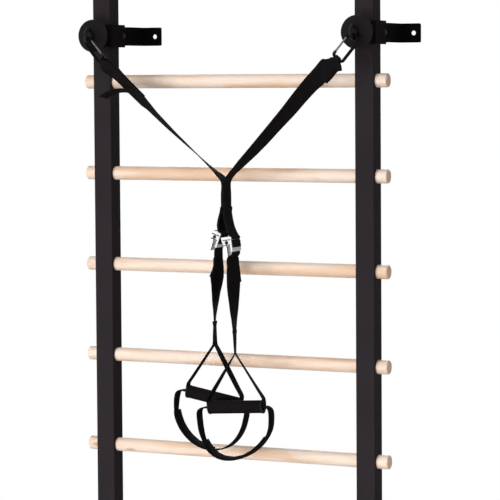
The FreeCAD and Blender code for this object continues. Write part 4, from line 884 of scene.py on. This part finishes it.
def foamGrip(side):
    made = grips[side]
    clearSelection()
    bpy.ops.mesh.primitive_cylinder_add(vertices=48, radius=grips["radius"] / 1000,
                                        depth=grips["length"] / 1000, end_fill_type="NOTHING",
                                        rotation=(0, math.radians(90 + made["tilt"]), 0),
                                        location=Vector(made["centre"]) / 1000)
    foam = bpy.context.object
    foam.name = "foamGrip_" + side
    settlePlace(foam)
    bpy.ops.object.mode_set(mode="EDIT")
    bpy.ops.mesh.select_all(action="SELECT")
    bpy.ops.mesh.subdivide(number_cuts=1)
    bpy.ops.object.mode_set(mode="OBJECT")
    addModifier(foam, "SOLIDIFY", thickness=(grips["radius"] - grips["hole"]) / 1000, offset=-1)
    addModifier(foam, "BEVEL", width=grips["edgeRound"] / 1000, segments=3, limit_method="ANGLE",
                angle_limit=math.radians(50))
    tidyShell(foam, 50)
    finishPiece(foam, finish["gripFoam"], "grip_" + side, "foam", "grip_foam_" + side)


footLoops = {
    "half": 98.0, "drop": 131.0, "level": 30.0, "shoulder": 14.0, "width": 22.0, "ply": 3.0,
    "root": 77.0, "roll": 13.0, "padFade": 30, "topFade": 10,
    "left": {"skew": 9.0, "shift": -3.0, "padSpan": 82.0, "padAt": 55.0},
    "right": {"skew": -20.0, "shift": -5.0, "padSpan": 122.0, "padAt": 92.0},
}


def bowPoint(side, degrees):
    sizes, made = footLoops, footLoops[side]
    t = math.radians(degrees)
    return (made["shift"] - sizes["half"] * math.cos(t) + made["skew"] * math.sin(t) ** 2,
            -sizes["level"] - (sizes["drop"] - sizes["level"]) * math.sin(t))


def hangFootLoop(side):
    sizes, made = footLoops, footLoops[side]
    half, shift, corner = sizes["half"], made["shift"], sizes["shoulder"]
    spots = [(-sizes["root"], 0.0), (-(half - corner) + shift, 0.0)]
    for angle in (30, 60):
        t = math.radians(angle)
        spots.append((shift - (half - corner) - corner * math.sin(t), -corner * (1 - math.cos(t))))
    spots.append((shift - half, -corner))
    spots += [bowPoint(side, degrees) for degrees in range(0, 181, 15)]
    spots.append((shift + half, -corner))
    for angle in (60, 30):
        t = math.radians(angle)
        spots.append((shift + (half - corner) + corner * math.sin(t), -corner * (1 - math.cos(t))))
    spots += [(half - corner + shift, 0.0), (sizes["root"], 0.0)]
    roll = math.radians(sizes["roll"])
    turned = Vector((math.sin(roll), math.cos(roll), 0))
    low = made["padAt"] - made["padSpan"] / 2
    padded = [bowPoint(side, low + made["padSpan"] * k / 8) for k in range(9)]
    stations = []
    for x, z in spots:
        free = min(math.hypot(x - px, z - pz) for px, pz in padded) / sizes["padFade"]
        free = min(1.0, free) * min(1.0, max(0.0, -z / sizes["topFade"]))
        stations.append((gripSpot(side, x, z) / 1000, yAxis.lerp(turned, free).normalized(),
                         sizes["width"] / 1000))
    strap = layStrap("footLoop_" + side, stations, sizes["ply"], 4.0)[0]
    finishPiece(strap, finish["narrowWebbing"], "loop_" + side, "webbing", "foot_loop_" + side)


footPads = {"width": 38.0, "thick": 9.0, "skin": 0.3, "inwards": 2.4, "rows": 40, "around": 28,
            "endShare": 0.55, "endRise": 6, "sideRound": 0.6, "crown": 0.7, "endPull": 0.04,
            "ripple": 0.3, "rippleRate": 46, "rippleDrift": (17, 0.8), "outerRipple": 0.3,
            "cover": (0.09, 0.2)}


def stuffFootPad(side):
    # a closed tube of cover along the bow, plump in the middle and drawn in at both ends
    sizes, made = footPads, footLoops[side]
    low, count = made["padAt"] - made["padSpan"] / 2, sizes["rows"]
    clearSelection()
    bpy.ops.mesh.primitive_cylinder_add(vertices=sizes["around"], radius=1, depth=1,
                                        end_fill_type="NGON")
    pad = bpy.context.object
    pad.name = "footPad_" + side
    bpy.ops.object.mode_set(mode="EDIT")
    for cut in range(1, count):
        bpy.ops.mesh.select_all(action="SELECT")
        bpy.ops.mesh.bisect(plane_co=(0, 0, cut / count - 0.5), plane_no=(0, 0, 1))
    bpy.ops.object.mode_set(mode="OBJECT")
    for spot in pad.data.uv_layers.active.data:
        spot.uv = (spot.uv.x * sizes["cover"][0], spot.uv.y * sizes["cover"][1])
    centres = [bowPoint(side, low + made["padSpan"] * k / count) for k in range(count + 1)]
    rate, drift = sizes["rippleDrift"]
    for v in pad.data.vertices:
        along = v.co.z + 0.5
        row = round(along * count)
        x, z = centres[row]
        before, after = centres[max(row - 1, 0)], centres[min(row + 1, count)]
        slope = Vector((after[0] - before[0], 0, after[1] - before[1])).normalized()
        outward = Vector((slope.z, 0, -slope.x))
        angle = math.atan2(v.co.y, v.co.x)
        endFall = min(1.0, sizes["endShare"] + sizes["endRise"] * min(along, 1 - along))
        seam = abs(math.sin(angle))
        flat = math.copysign(abs(math.cos(angle)) ** sizes["sideRound"], math.cos(angle))
        thick = seam ** sizes["crown"] * (sizes["thick"] / 2 - sizes["skin"]) * endFall
        ripple = sizes["ripple"] * seam * math.sin(
            along * sizes["rippleRate"] + drift * math.sin(along * rate))
        if math.sin(angle) >= 0:
            ripple *= sizes["outerRipple"]
        height = math.copysign(thick + ripple * endFall, math.sin(angle)) - sizes["inwards"]
        across = flat * sizes["width"] / 2 * (1 - sizes["endPull"] * (1 - endFall))
        v.co = gripSpot(side, x + outward.x * height, z + outward.z * height, across) / 1000
    tidyShell(pad, 60)
    finishPiece(pad, finish["padCover"], "loop_" + side, "pad", "foot_pad_" + side)


cheekMarks = {"y": -26.15, "thick": 2.3, "deep": 0.6, "edgeRound": 0.2,
              "grooveShades": [(-21.5, -1.5, -3.6), (-20.0, -2.5, -16.0)],  # from x, to x, height
              "ring": (-12.0, -10.0, 3.9), "ringThick": 1.3, "ringBack": 0.1}


def markCheek(side):
    # dark strips laid on the front cheek as painted shade of its grooves, and the rivet's ring
    # pressed into the front cheek
    made, body, level = cheekMarks, "leg_" + side, cheekMarks["y"]
    for number, (x0, x1, z) in enumerate(made["grooveShades"], start=1):
        # a dark strip standing in for the shade in one groove: painted shade
        clearSelection()
        centre = buckleSpot(side, (x0 + x1) / 2, z, level)
        bpy.ops.mesh.primitive_cube_add(size=1, location=mm(*centre), rotation=(
            0, math.radians(buckles[side]["tilt"]), 0))
        grooveShade = bpy.context.object
        grooveShade.name = "cheekGrooveShade_%s_%d" % (side, number)
        grooveShade.scale = mm(abs(x1 - x0), made["deep"], made["thick"])
        settlePlace(grooveShade)
        addModifier(grooveShade, "BEVEL", width=made["edgeRound"] / 1000, segments=2)
        finishPiece(grooveShade, finish["blackBolt"], body, "buckle")
    x, z, radius = made["ring"]
    clearSelection()
    bpy.ops.mesh.primitive_torus_add(
        major_radius=radius / 1000, minor_radius=made["ringThick"] / 2000, major_segments=32,
        minor_segments=8, location=mm(*buckleSpot(side, x, z, level + made["ringBack"])),
        rotation=(math.radians(90), 0, 0))
    ring = bpy.context.object
    ring.name = "cheekRing_" + side
    settlePlace(ring)
    tidyShell(ring, 60)
    finishPiece(ring, finish["blackBolt"], body, "buckle")


for side in sides:
    markCheek(side)
    sewHandleStrap(side)
    foamGrip(side)
    hangFootLoop(side)
    stuffFootPad(side)
print("handles and foot loops made")


# floor, lights, camera

stageSet = {"floorSize": 3.6, "floorAt": (0, -0.1, cadBox[0][2] - 0.0005),
            "floorColour": (0.86, 0.86, 0.86, 1), "roomLight": 0.04, "roomColour": (1, 1, 1, 1)}


def layFloor():
    clearSelection()
    bpy.ops.mesh.primitive_plane_add(size=stageSet["floorSize"], location=stageSet["floorAt"])
    floor = bpy.context.object
    floor.name = "floor"
    material, _, shader = newMaterial("paleFloor", Roughness=0.7)
    shader.inputs["Base Color"].default_value = stageSet["floorColour"]
    floor.data.materials.append(material)


def lightRoom():
    # white where the camera, gloss and glass see it, and a faint light on everything else
    world = bpy.data.worlds.new("studio")
    bpy.context.scene.world = world
    world.use_nodes = True
    tree = world.node_tree
    tree.nodes.clear()
    seen = addNode(tree, "Background", {"Color": (1, 1, 1, 1), "Strength": 1.0})
    soft = addNode(tree, "Background", {"Color": stageSet["roomColour"],
                                        "Strength": stageSet["roomLight"]})
    path = addNode(tree, "LightPath")
    mix = tree.nodes.new("ShaderNodeMixShader")
    shown = calc(tree, "ADD", path.outputs["Is Camera Ray"], path.outputs["Is Glossy Ray"])
    shown = calc(tree, "ADD", shown, path.outputs["Is Transmission Ray"], clamp=True)
    tree.links.new(shown, mix.inputs[0])
    tree.links.new(soft.outputs[0], mix.inputs[1])
    tree.links.new(seen.outputs[0], mix.inputs[2])
    out = tree.nodes.new("ShaderNodeOutputWorld")
    tree.links.new(mix.outputs[0], out.inputs["Surface"])


lamps = {
    "keyLeft": {"at": (-3.6, -5.4, 1.2), "aim": (0, -0.2, 0.3), "size": (2.6, 3.4), "power": 116},
    "fillFront": {"at": (-0.4, -6.0, 0.3), "aim": (0, -0.2, 0.2), "size": (2.6, 3.0), "power": 54},
    "fillTop": {"at": (-0.6, -3.4, 3.6), "aim": (0, -0.2, 0.9), "size": (3.0, 2.0), "power": 88},
    "fillRight": {"at": (5.4, -1.6, 0.6), "aim": (0, -0.1, 0.2), "size": (2.4, 3.0), "power": 62},
    "fillBack": {"at": (-1.3, 5.2, 1.5), "aim": (0, 0.1, 0.1), "size": (3.2, 3.2), "power": 190},
    "fillLow": {"at": (-0.4, -3.8, -0.6), "aim": (0, -0.2, -0.6), "size": (4.0, 0.7), "power": 70},
}


def hangLamp(name, lamp):
    clearSelection()
    bpy.ops.object.light_add(type="AREA", location=lamp["at"])
    light = bpy.context.object
    light.name = name
    light.data.shape = "RECTANGLE"
    light.data.size, light.data.size_y = lamp["size"]
    light.data.energy = lamp["power"]
    aim = Vector(lamp["aim"]) - Vector(lamp["at"])
    light.rotation_euler = aim.to_track_quat("-Z", "Y").to_euler()


viewpoint = {"at": (2.448292, -5.414220, 0.601718), "angles": (86.97323, 0.378769, 24.578827),
             "lens": 165.6079, "shiftY": -0.106}


def setCamera():
    clearSelection()
    bpy.ops.object.camera_add(location=viewpoint["at"],
                              rotation=[math.radians(a) for a in viewpoint["angles"]])
    camera = bpy.context.object
    camera.name = "viewpoint"
    camera.data.sensor_width = 36
    camera.data.lens = viewpoint["lens"]
    camera.data.shift_y = viewpoint["shiftY"]
    camera.data.clip_end = 60
    bpy.context.scene.camera = camera


layFloor()
lightRoom()
for lampName, lamp in lamps.items():
    hangLamp(lampName, lamp)
setCamera()
bpy.context.scene.view_settings.view_transform = "Standard"
print("floor, lights and camera set")
